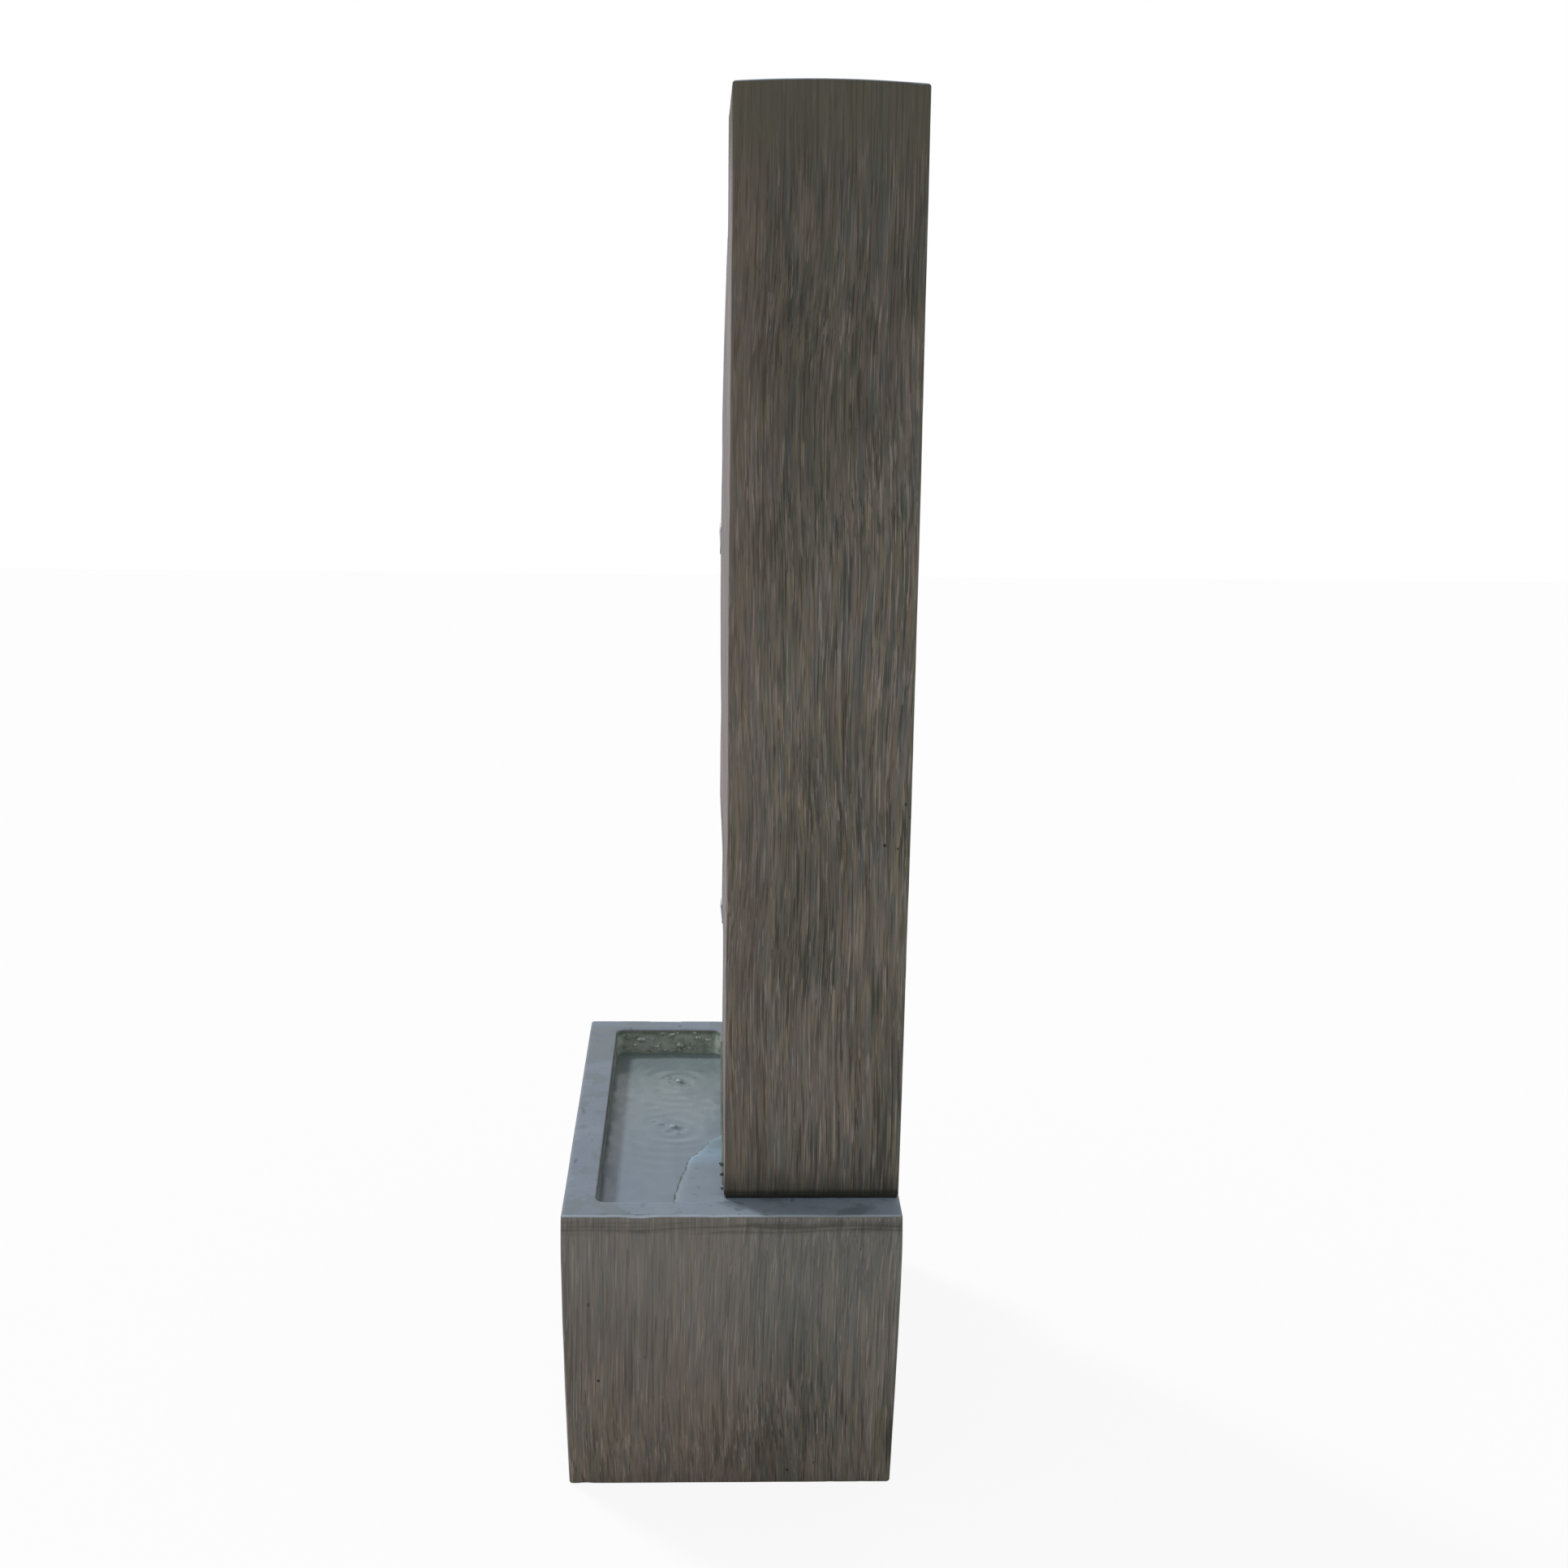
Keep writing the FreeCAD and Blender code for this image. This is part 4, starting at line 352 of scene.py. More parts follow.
def brushed_face(finish, deep, height):
    """The colour of an upright face, and the marks that its relief is made from."""
    finish.sway(4.0, 0.03)
    hair = streaks(finish, 1150, 0.022)
    middle = streaks(finish, 520, 0.032, (6, 2, 3))
    soft = streaks(finish, 130, 0.05, (3, 1, 2), 3.0)
    mark = hair * 0.26 + middle * 0.42 + soft * 0.32
    colour = finish.ramp(
        mark, (0.38, paint(66, 65, 58)), (0.5, paint(98, 94, 86)), (0.62, paint(128, 122, 113)))
    tints = (
        ((8, 3, 5), 190, paint(122, 104, 100)), ((2, 4, 9), 150, paint(84, 94, 80)),
        ((4, 9, 2), 170, paint(82, 91, 97)), ((9, 1, 6), 260, paint(130, 116, 92)))
    for shift, scale, tint in tints:
        share = finish.step(streaks(finish, scale, 0.06, shift), 0.54, 0.64) * 0.42
        colour = finish.blend(share, colour, tint)
    scores = finish.step(streaks(finish, 430, 0.022, (1, 7, 4)), 0.585, 0.63)
    colour = finish.blend(scores * 0.62, colour, paint(46, 45, 39))
    glints = finish.step(streaks(finish, 500, 0.03, (7, 5, 1)), 0.61, 0.65)
    colour = finish.blend(glints * 0.5, colour, paint(164, 152, 142))
    patch = finish.noise(8, (1, 1, 0.6), detail=3.0, shift=(5, 2, 1))
    colour = finish.blend(finish.step(patch, 0.42, 0.62, 0.0, 0.28), colour, paint(72, 70, 62))
    colour = finish.blend(finish.step(patch, 0.5, 0.34, 0.0, 0.25), colour, paint(128, 120, 110))
    upper = finish.step(height, 0.95, 1.14) * 0.3
    colour = finish.blend(upper, colour, paint(54, 52, 43))
    warm = finish.step(deep, 0.05, -0.01) * 0.22
    colour = finish.blend(warm, colour, paint(128, 112, 100))
    return colour, hair * 0.3 + middle * 0.5 + soft * 0.5 - scores * 0.35


# %% [markdown]
# The other faces get a colour each too: trowelled where they are level, slimy inside
# the pool. Soft masks, made from `facing` and from the place, choose between them, and
# the same masks choose the roughness and the relief.

# %% The cast stone
def within(finish, value, low, high, soft):
    """1 between two places along an axis, with soft ends."""
    return finish.step(value, low - soft, low + soft) * finish.step(value, high + soft, high - soft)


def level_face_and_sky_light(finish):
    """The colour and the roughness of a trowelled, level face, whose pale blue grey is partly painted
    sky light.
    """
    smear = finish.noise(11, (1, 0.5, 1), detail=4.0, rough=0.55, shift=(1, 2, 3))
    # partly painted sky light: level faces get a lighter, bluer grey than the brushed sides
    colour = finish.ramp(
        smear, (0.3, paint(104, 115, 127)), (0.5, paint(121, 132, 145)), (0.75, paint(138, 149, 161)))
    damp = finish.step(finish.noise(23, (1.3, 1, 1), detail=3.0, shift=(2, 8, 0), warp=0.8), 0.52, 0.6)
    colour = finish.blend(damp * 0.6, colour, paint(94, 106, 111))
    dash = finish.step(finish.noise(90, (0.3, 1, 1), shift=(5, 5, 5)), 0.66, 0.71)
    colour = finish.blend(dash * 0.5, colour, paint(72, 82, 88))
    speck = finish.step(finish.noise(260, detail=1.0), 0.64, 0.73) * 0.35
    colour = finish.blend(speck, colour, paint(84, 90, 96))
    return colour, finish.step(smear, 0.3, 0.7, 0.5, 0.72) - damp * 0.2


def pool_face(finish, height):
    """The colour of a pool wall, lightened as painted sky light, and the lumps of its slime."""
    slime = finish.noise(60, (1, 1, 1.4), detail=4.0, rough=0.65, shift=(3, 3, 3))
    # painted sky light: the algae greens are set far paler than their own tone, to light the shaded pool
    # walls
    colour = finish.ramp(
        slime, (0.36, paint(156, 176, 158)), (0.5, paint(206, 220, 208)), (0.66, paint(232, 238, 230)))
    under_rim = finish.step(height, RIM - 0.009, RIM - 0.003)
    return finish.blend(under_rim * 0.7, colour, paint(58, 92, 64)), slime


def upright_face(finish, deep, height, front, mottle):
    """The brushed colour of sides and front, with what weather did to it, the front painted paler as
    painted sunlight, and painted shade where the column meets the deck.
    """
    colour, marks = brushed_face(finish, deep, height)
    # painted sunlight: the front face is made paler and lilac grey, as the sun lights it
    pale = finish.ramp(
        marks, (0.5, paint(116, 110, 110)), (0.64, paint(144, 137, 139)), (0.78, paint(168, 160, 163)))
    colour = finish.blend(front * 0.85, colour, pale)
    on_basin = finish.step(height, 0.05, RIM - 0.02) * finish.step(height, RIM + 0.001, RIM - 0.001)
    colour = finish.blend(on_basin * 0.32 * (1 - front), colour, paint(136, 138, 137))
    top = COLUMN_HIGH.z - TOP_BAND
    band = finish.step(height + mottle * 0.03, top - 0.02, top + TOP_BAND * 0.7)
    colour = finish.blend(band * 0.7, colour, paint(86, 84, 72))
    above_deck = finish.step(height, RIM - 0.002, RIM + 0.002)
    foot = finish.step(height + mottle * 0.05, RIM + FOOT_BAND + 0.012, RIM + 0.02) * above_deck
    colour = finish.blend(foot * 0.6, colour, paint(48, 46, 41))
    # painted shade: a thin very dark line where the column meets the deck
    foot_contact_shade = finish.step(height + mottle * 0.004, RIM + 0.013, RIM + 0.008) * above_deck
    colour = finish.blend(foot_contact_shade * 0.7, colour, paint(30, 31, 27))
    brow = within(finish, height + mottle * 0.012, RIM - 0.012, RIM - 0.001, 0.004)
    scratch = finish.step(finish.noise(420, (0.03, 0.03, 1)), 0.4, 0.6, 0.15, 0.6)
    return finish.blend(brow * scratch, colour, paint(62, 60, 52)), marks


def make_stone():
    finish = Finish("cast_stone", specular=0.22)
    across, deep, height = finish.axes(finish.place)
    _, facing_back, facing_up = finish.facing()
    level = finish.step(facing_up, 0.45, 0.8)
    front = finish.step(facing_back, -0.45, -0.85)
    mottle = finish.noise(34, detail=4.0, rough=0.6)
    # level faces take a blue grey that is partly painted sky light
    flat, flat_rough = level_face_and_sky_light(finish)
    # the pool walls' algae colour is lightened as painted sky light
    algae_and_painted_light, slime = pool_face(finish, height)
    grain = finish.noise(900)

    side, marks = upright_face(finish, deep, height, front, mottle)
    # painted highlight: a thin pale blue line along the near rim's outer edge
    rim_edge_highlight = finish.step(across, BASIN_HIGH.x - 0.0055, BASIN_HIGH.x - 0.0025)
    rim_edge_highlight = rim_edge_highlight * finish.step(height, RIM - 0.004, RIM - 0.001)
    flat = finish.blend(rim_edge_highlight * 0.6, flat, paint(168, 180, 190))
    colour = finish.blend(level, side, flat)

    wall = within(finish, across, POOL_LOW.x, POOL_HIGH.x, 0.0016)
    wall = wall * within(finish, deep, POOL_LOW.y, POOL_HIGH.y, 0.0016)
    wall = wall * finish.step(height, RIM - 0.0005, RIM - 0.0035)
    colour = finish.blend(wall, colour, algae_and_painted_light)

    # painted shade: a few small pits are made nearly black
    holes = finish.cells(55.0)
    rare = finish.step(finish.noise(5, shift=(7, 7, 7)), 0.58, 0.64)
    pit = finish.step(holes, 0.11, 0.06) * rare * (1 - level) * (1 - wall)
    colour = finish.blend(pit * 0.85, colour, paint(30, 29, 26))
    roughness = flat_rough * level + (1 - level) * (0.86 - wall * 0.45)
    relief = (1 - level) * (1 - wall) * marks + mottle * level * 0.25
    relief = relief + grain * 0.12 - pit * 1.5 + slime * wall * 2.2
    return finish.done(colour, roughness, relief, 0.0011, 0.75)


stone = make_stone()
print("stone has", len(stone.node_tree.nodes), "nodes")

# %% [markdown]
# ## Blocks of small quads
# A cast block looks like stone only if its faces can wave a little and its edges can
# chip, so each block needs many small faces. A cube is cut along each axis in turn,
# then every grid line is moved to its place: close together within the rounding of
# an edge, and even between. Moving each vertex onto the rounding is then one formula.

# %% Block helpers
EDGE_ROWS = 4


def cut_cube(counts):
    """A cube from -1 to 1 whose faces are cut into counts cells along X, Y and Z."""
    bm = bmesh.new()
    bmesh.ops.create_cube(bm, size=2)
    for axis, count in enumerate(counts):
        along = [edge for edge in bm.edges if abs((edge.verts[0].co - edge.verts[1].co)[axis]) > 1]
        if count > 1:
            bmesh.ops.subdivide_edges(bm, edges=along, cuts=count - 1, use_grid_fill=True)
    return bm


def between(part, low, high):
    """The place between low and high where part goes from -1 to 1."""
    return low + (part + 1) / 2 * (high - low)


def line_place(index, count, length, band):
    """The place of one grid line, with EDGE_ROWS rows within the band at each end."""
    if index > count / 2:
        return length - line_place(count - index, count, length, band)
    if index <= EDGE_ROWS:
        return band * index / EDGE_ROWS
    return band + (length - 2 * band) * (index - EDGE_ROWS) / (count - 2 * EDGE_ROWS)


def soft_block(low, high, cell, radii):
    """A dense block with rounded edges, and the way out of the block at each vertex."""
    low, high = Vector(low), Vector(high)
    counts = [round((high[axis] - low[axis]) / cell) + 2 * EDGE_ROWS for axis in range(3)]
    bm = cut_cube(counts)
    ways = {}
    for vert in bm.verts:
        core, way = Vector(), Vector()
        for axis in range(3):
            index = round((vert.co[axis] + 1) / 2 * counts[axis])
            spot = low[axis] + line_place(index, counts[axis], high[axis] - low[axis], radii[axis])
            core[axis] = min(max(spot, low[axis] + radii[axis]), high[axis] - radii[axis])
            way[axis] = (spot - core[axis]) / radii[axis]
        way.normalize()
        vert.co = core + Vector([way[axis] * radii[axis] for axis in range(3)])
        ways[vert] = way
    return bm, ways


print("grid lines of a 0.1 m edge start at",
      [round(line_place(index, 18, 0.1, 0.004), 4) for index in range(EDGE_ROWS + 3)])

# %% [markdown]
# ## Cutting and finishing a piece
# A hollow, a hole or a hatch is a second solid that is taken away from the first. The
# boolean modifier does that, and its Manifold solver is quick and leaves a closed mesh
# closed. Every finished piece then goes through the same last steps: smooth shading
# that keeps sharp edges, one material, and the body that it moves with.

# %% Cutting and finishing
def plain_block(low, high):
    bm = bmesh.new()
    low, high = Vector(low), Vector(high)
    place = Matrix.Translation((low + high) / 2) @ Matrix.Diagonal((*(high - low), 1))
    bmesh.ops.create_cube(bm, size=1, matrix=place)
    return bm


def round_bar(start, end, radius):
    """A round bar between two places on a line along Y or Z."""
    bm = bmesh.new()
    start, end = Vector(start), Vector(end)
    turn = Matrix.Rotation(math.pi / 2 if start.z == end.z else 0, 4, "X")
    place = Matrix.Translation((start + end) / 2) @ turn
    bmesh.ops.create_cone(bm, cap_ends=True, segments=48, radius1=radius, radius2=radius,
                          depth=(end - start).length, matrix=place)
    return bm


def carve(name, bm, cutters=()):
    """Cuts each cutter out of the block in turn, and returns the finished object."""
    mesh = bpy.data.meshes.new(name)
    bm.to_mesh(mesh)
    bm.free()
    piece = bpy.data.objects.new(name, mesh)
    bpy.context.collection.objects.link(piece)
    tools = []
    for cutter in cutters:
        bmesh.ops.recalc_face_normals(cutter, faces=cutter.faces)
        tool_mesh = bpy.data.meshes.new("cutter")
        cutter.to_mesh(tool_mesh)
        cutter.free()
        tool = bpy.data.objects.new("cutter", tool_mesh)
        bpy.context.collection.objects.link(tool)
        modifier = piece.modifiers.new("cut", "BOOLEAN")
        modifier.operation = "DIFFERENCE"
        modifier.solver = "MANIFOLD"
        modifier.object = tool
        tools.append(tool)
    if cutters:
        graph = bpy.context.evaluated_depsgraph_get()
        carved = bpy.data.meshes.new_from_object(piece.evaluated_get(graph))
        piece.modifiers.clear()
        piece.data = carved
    for tool in tools:
        bpy.data.objects.remove(tool)
    return piece


def mark_facing(mesh):
    """Stores at each corner the way that its surface faces."""
    normals = [part for corner in mesh.corner_normals for part in corner.vector]
    mesh.attributes.new("facing", "FLOAT_VECTOR", "CORNER").data.foreach_set("vector", normals)


def settle(piece, material, body="fountain", stands_for=(), sharp=40):
    """Smooth shading, one material and a body to ride on."""
    mesh = piece.data
    mesh.materials.clear()
    mesh.materials.append(material)
    mesh.polygons.foreach_set("material_index", [0] * len(mesh.polygons))
    mesh.polygons.foreach_set("use_smooth", [True] * len(mesh.polygons))
    mesh.set_sharp_from_angle(angle=math.radians(sharp))
    mark_facing(mesh)
    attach(piece, body)
    if stands_for:
        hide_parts(*stands_for)
    mesh.calc_loop_triangles()
    print(piece.name, len(mesh.loop_triangles), "triangles")
    return piece


# %% [markdown]
# ## Flaws of a cast surface
# Moulds are never flat. A slow wave, a finer unevenness and a few chips along the edges
# are all pushed inwards, so that no flaw makes the piece larger than the real one.

# %% Flaws
SLOW_WAVE = 0.0006
FINE_WAVE = 0.00025
CHIP_DEPTH = 0.0028


def flaw_depth(place, way):
    """How far a vertex sinks: slow and fine waves everywhere, and chips near the edges."""
    depth = SLOW_WAVE * (0.5 + 0.5 * noise.noise(place * 6.0))
    depth += FINE_WAVE * (0.5 + 0.5 * noise.noise(place * 31.0))
    steep = sorted(abs(part) for part in way)[1]
    if steep > 0.15:
        chip = noise.noise(place * 58.0) + 0.5 * noise.noise(place * 17.0)
        depth += CHIP_DEPTH * max(0.0, chip - 0.42)
    return depth


def add_flaws(bm, ways):
    for vert in bm.verts:
        vert.co -= ways[vert] * flaw_depth(vert.co, ways[vert])


print(f"waves sink the faces by up to {(SLOW_WAVE + FINE_WAVE) * 1000:.2f} mm")

# %% [markdown]
# ## Column
# The column is a hollow slab. Its front swells a few millimetres round the two mouths,
# as if the stone had been pulled forward there, and the top is crowned so that rain
# runs off. Each mouth is cut with an oval trumpet: straight inside the wall, then
# opening along a quarter circle, which leaves the rounded lip that the water runs over.

# %% Column
SWELL_PROUD = 0.0065
SLAB_FRONT = COLUMN_LOW.y + SWELL_PROUD
COLUMN_WALL = 0.018
COLUMN_ROOF = 0.024
COLUMN_CELL = 0.0056
COLUMN_EDGE = 0.0032
REAR_BULGE = 0.0015
CROWN = 0.003
SWELL_DEPTH = 0.010
BLEND_WIDTH = 0.0016
HATCH_LIP = 0.021
# radius and depth of each step of the hole for the pump's lead
CABLE_HOLE = ((0.0111, 0.03), (0.0171, 0.0031))
# centre x, centre z, half width, half height of each swelling, and how proud it stands
SWELLS = {
    "upper": (-0.015, 0.930, 0.190, 0.425, 0.0065),
    "lower": (-0.148, 0.640, 0.080, 0.240, 0.005),
}
# centre x, centre z, half width, half height and lip radius of each mouth
MOUTHS = {
    "upper": (-0.015, 0.999, 0.055, 0.053, 0.007),
    "lower": (-0.148, 0.554, 0.042, 0.061, 0.006),
}


def swell_height(x, z):
    """How far the front stands proud of the flat slab."""
    most = 0.0
    for centre_x, centre_z, half_x, half_z, proud in SWELLS.values():
        inside = 1 - ((x - centre_x) / half_x) ** 2 - ((z - centre_z) / half_z) ** 2
        rise = (SWELL_DEPTH + proud) * math.sqrt(max(inside, 0)) - SWELL_DEPTH
        soft = 0.5 * (rise + math.hypot(rise, BLEND_WIDTH))
        most = max(most, min(soft, proud))
    return most


def trumpet(centre_x, centre_z, half_x, half_z, lip):
    """An oval cutter that opens along a quarter circle towards the front."""
    inner = SLAB_FRONT + COLUMN_WALL + 0.004
    face = SLAB_FRONT - swell_height(centre_x, centre_z) - 0.0002
    steps = 8
    rings = [(inner, 0.0), (face + lip, 0.0)]
    for step in range(1, steps + 1):
        angle = math.pi / 2 * step / steps
        rings.append((face + lip - lip * math.sin(angle), lip * (1 - math.cos(angle))))
    rings.append((face - 0.02, lip))
    bm = bmesh.new()
    bmesh.ops.create_cone(bm, cap_ends=True, segments=96, radius1=1, radius2=1, depth=2)
    sides = [edge for edge in bm.edges if abs(edge.verts[0].co.z - edge.verts[1].co.z) > 1]
    bmesh.ops.subdivide_edges(bm, edges=sides, cuts=len(rings) - 2, use_grid_fill=True)
    for vert in bm.verts:
        index = round((vert.co.z + 1) / 2 * (len(rings) - 1))
        depth, grow = rings[index]
        vert.co = Vector((centre_x + vert.co.x * (half_x + grow), depth,
                          centre_z + vert.co.y * (half_z + grow)))
    return bm


def grown(node, margin):
    """A node's box with a margin all round."""
    low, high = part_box(node)
    edge = Vector((margin, margin, margin))
    return Vector(low) - edge, Vector(high) + edge


def rear_cutters():
    """The hollow, the hatch behind the access panel, the tie plate's seat and the cable hole."""
    back = COLUMN_HIGH.y
    wall = Vector((COLUMN_WALL, COLUMN_WALL, 0))
    hollow = plain_block(Vector((COLUMN_LOW.x, SLAB_FRONT, COLUMN_LOW.z - 0.01)) + wall,
                         Vector((COLUMN_HIGH.x, back, COLUMN_HIGH.z - COLUMN_ROOF)) - wall)
    panel_low, panel_high = grown("rear_access_panel", 0.001)
    panel_high.y = back + 0.01
    lip = Vector((HATCH_LIP, 0, HATCH_LIP))
    hatch_low = panel_low + lip
    hatch_low.y = back - COLUMN_WALL - 0.01
    tie_low, tie_high = grown("wall_tie_plate", 0.0005)
    tie_high.y = back + 0.01
    grommet_low, grommet_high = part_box("cable_grommet")
    cable_x, cable_z = (grommet_low[0] + grommet_high[0]) / 2, (grommet_low[2] + grommet_high[2]) / 2
    blocks = [(panel_low, panel_high), (hatch_low, panel_high - lip), (tie_low, tie_high)]
    bars = [round_bar((cable_x, back - depth, cable_z), (cable_x, back + 0.01, cable_z), radius)
            for radius, depth in CABLE_HOLE]
    return [hollow] + [plain_block(*block) for block in blocks] + bars


def make_column():
    low = Vector((COLUMN_LOW.x, SLAB_FRONT, COLUMN_LOW.z - COLUMN_EDGE * 0.8))
    bm, ways = soft_block(low, COLUMN_HIGH, COLUMN_CELL, (COLUMN_EDGE,) * 3)
    middle = (SLAB_FRONT + COLUMN_HIGH.y) / 2
    half = (COLUMN_HIGH.y - SLAB_FRONT) / 2
    for vert in bm.verts:
        way = ways[vert]
        if way.y < -0.5:
            vert.co.y -= swell_height(vert.co.x, vert.co.z) * (-way.y)
        if way.y > 0.5:
            share = (vert.co.z - COLUMN_LOW.z) / (COLUMN_HIGH.z - COLUMN_LOW.z)
            vert.co.y += REAR_BULGE * math.sin(math.pi * share) * way.y
        if way.z > 0:
            vert.co.z -= CROWN * ((vert.co.y - middle) / half) ** 2
    add_flaws(bm, ways)
    for vert in bm.verts:
        vert.co.z = max(vert.co.z, COLUMN_LOW.z)
    cutters = rear_cutters() + [trumpet(*mouth) for mouth in MOUTHS.values()]
    return settle(carve("cast_column", bm, cutters), stone, stands_for=("column_shell",))


make_column()

# %% [markdown]
# ## Basin
# The basin is one casting: a pool in front, and behind it a bay for the pump under the
# column. A slab with an arch parts the two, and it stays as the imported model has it. The
# sides lean in a little towards the ground and bow out slightly below the rim. The pool
# is cut with rounded corners and an edge that has been rubbed round.

# %% Basin
BASIN_CELL = 0.0056
BASIN_EDGES = (0.0042, 0.0042, 0.0026)
BASIN_DRAFT = Vector((0.005, 0.006, 0))
BOW = 0.0009
POOL_CORNER = 0.010
POOL_EDGE = 0.003
BAY_LOW = Vector((-0.200, POOL_HIGH.y - 0.005, FLOOR))
BAY_HIGH = Vector((0.200, 0.136, RIM + 0.01))
DRAIN = (0.0, -0.073)
# radius and lowest place of each step of the drain's hole
DRAIN_HOLE = ((0.0161, -0.01), (0.0221, FLOOR - 0.0031))


def prism(low, high, radius, levels, segments=6):
    """An upright block with rounded corners, whose outline grows as the levels say."""
    bm = bmesh.new()
    bmesh.ops.create_cube(bm, size=2)
    for vert in bm.verts:
        vert.co.x = high.x if vert.co.x > 0 else low.x
        vert.co.y = high.y if vert.co.y > 0 else low.y
    upright = [edge for edge in bm.edges if abs(edge.verts[0].co.z - edge.verts[1].co.z) > 1]
    bmesh.ops.bevel(bm, geom=upright, offset=radius, offset_type="OFFSET", segments=segments,
                    profile=0.5, affect="EDGES", material=-1)
    upright = [edge for edge in bm.edges if abs(edge.verts[0].co.z - edge.verts[1].co.z) > 1]
    bmesh.ops.subdivide_edges(bm, edges=upright, cuts=len(levels) - 2, use_grid_fill=True)
    for vert in bm.verts:
        height, grow = levels[round((vert.co.z + 1) / 2 * (len(levels) - 1))]
        core = Vector((min(max(vert.co.x, low.x + radius), high.x - radius),
                       min(max(vert.co.y, low.y + radius), high.y - radius), 0))
        way = Vector((vert.co.x, vert.co.y, 0)) - core
        plan = core + way.normalized() * (way.length + grow)
        vert.co = Vector((plan.x, plan.y, height))
    return bm


def pool_cutter():
    """The pool, with an edge that opens along a quarter circle at the rim."""
    steps = 5
    levels = [(FLOOR, 0.0), (RIM - POOL_EDGE, 0.0)]
    for step in range(1, steps + 1):
        angle = math.pi / 2 * step / steps
        levels.append((RIM - POOL_EDGE + POOL_EDGE * math.sin(angle), POOL_EDGE * (1 - math.cos(angle))))
    levels.append((RIM + 0.01, POOL_EDGE))
    return prism(POOL_LOW, POOL_HIGH, POOL_CORNER, levels)


def drain_cutters():
    return [round_bar((*DRAIN, low), (*DRAIN, FLOOR + 0.001), radius) for radius, low in DRAIN_HOLE]


def make_basin():
    bm, ways = soft_block(BASIN_LOW, BASIN_HIGH, BASIN_CELL, BASIN_EDGES)
    for vert in bm.verts:
        down = 1 - vert.co.z / RIM
        lean = down ** 1.7
        bow = BOW * (1 - min(down / 0.18, 1)) ** 2
        for axis in (0, 1):
            reach = BASIN_HIGH[axis]
            vert.co[axis] *= 1 - (BASIN_DRAFT[axis] * lean + bow) / reach
    add_flaws(bm, ways)
    deck_low, deck_high = grown("deck_slab", 0.001)
    deck_low.z += 0.001
    deck_high.z = RIM + 0.01
    cutters = [pool_cutter(), plain_block(BAY_LOW, BAY_HIGH), plain_block(deck_low, deck_high)]
    cutters += drain_cutters()
    return settle(carve("cast_basin", bm, cutters), stone, stands_for=("basin_shell",))


make_basin()

# %% [markdown]
# ## Mortar ledge
# A lump of mortar fills the near rear corner of the pool, flush with the rim. It was
# laid by hand, so its free edge wanders, is crumbly, and rolls down to the water. A
# flat grid is laid out between that edge and the column, given its thickness by a cube's
# second side, and then each vertex takes its place and its share of the rolled edge.

# %% Mortar ledge
# places along the free edge, from the column to the near wall
LEDGE_EDGE = ((0.0715, -0.0115), (0.0820, -0.0205), (0.1106, -0.0335), (0.1328, -0.0461),
              (0.1511, -0.0475), (0.1709, -0.0508), (0.1957, -0.0556), (0.2200, -0.0588),
              (0.2425, -0.0593))
LEDGE_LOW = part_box("corner_ledge")[0][2]
LEDGE_ROLL = 0.0032


def ledge_front(x):
    """The free edge at one place: straight between the marks, and crumbly on top of that."""
    for (x0, y0), (x1, y1) in zip(LEDGE_EDGE, LEDGE_EDGE[1:]):
        if x <= x1:
            break
    share = min(max((x - x0) / (x1 - x0), 0), 1)
    crumble = 0.0022 * noise.noise(Vector((x * 60, 3.1, 0)))
    crumble += 0.0016 * noise.noise(Vector((x * 230, 7.7, 0)))
    return y0 + (y1 - y0) * share + crumble * min((x - LEDGE_EDGE[0][0]) * 40, 1)


def make_mortar():
    """Pale mortar whose rolled edge is dark: wet, with painted shade and a painted dark reflection of
    the water.
    """
    finish = Finish("ledge_mortar", specular=0.4)
    across, _, height = finish.axes(finish.place)
    smear = finish.noise(24, (1, 0.5, 1), detail=4.0, shift=(4, 1, 0))
    colour = finish.ramp(
        smear, (0.3, paint(112, 130, 142)), (0.5, paint(126, 148, 164)), (0.72, paint(140, 166, 184)))
    near = finish.step(across, 0.12, 0.165) * 0.85
    colour = finish.blend(near, colour, paint(120, 131, 143))
    dirt = finish.step(finish.noise(70, detail=3.0, shift=(1, 5, 2)), 0.6, 0.72) * 0.4
    colour = finish.blend(dirt, colour, paint(78, 86, 84))
    # the rolled edge is wet, and its dark colour is also painted shade and a painted dark reflection of
    # the water
    wet_and_painted_shade = finish.step(height, RIM - 0.0013, RIM - 0.0026)
    colour = finish.blend(wet_and_painted_shade * 0.9, colour, paint(44, 54, 52))
    grain = finish.noise(420)
    return finish.done(colour, 0.62 - wet_and_painted_shade * 0.35, smear * 0.6 + grain * 0.25, 0.0012, 0.6)


def make_ledge():
    bm = cut_cube((130, 34, 1))
    far, near = LEDGE_EDGE[0][0], LEDGE_EDGE[-1][0]
    rear = POOL_HIGH.y + 0.0014
    for vert in bm.verts:
        x = between(vert.co.x, far, near)
        share = (1 - vert.co.y) / 2
        front = ledge_front(x)
        y = rear + (front - rear) * (1 - (1 - share) ** 1.6)
        roll = LEDGE_ROLL * math.exp(-(y - front) / 0.0028)
        dips = 0.0006 * noise.noise(Vector((x * 30, y * 30, 1)))
        top = RIM - 0.0005 - roll + min(dips, 0.0002)
        vert.co = Vector((x, y, top if vert.co.z > 0 else LEDGE_LOW))
    return settle(carve("mortar_ledge", bm), make_mortar(), stands_for=("corner_ledge",), sharp=50)


make_ledge()

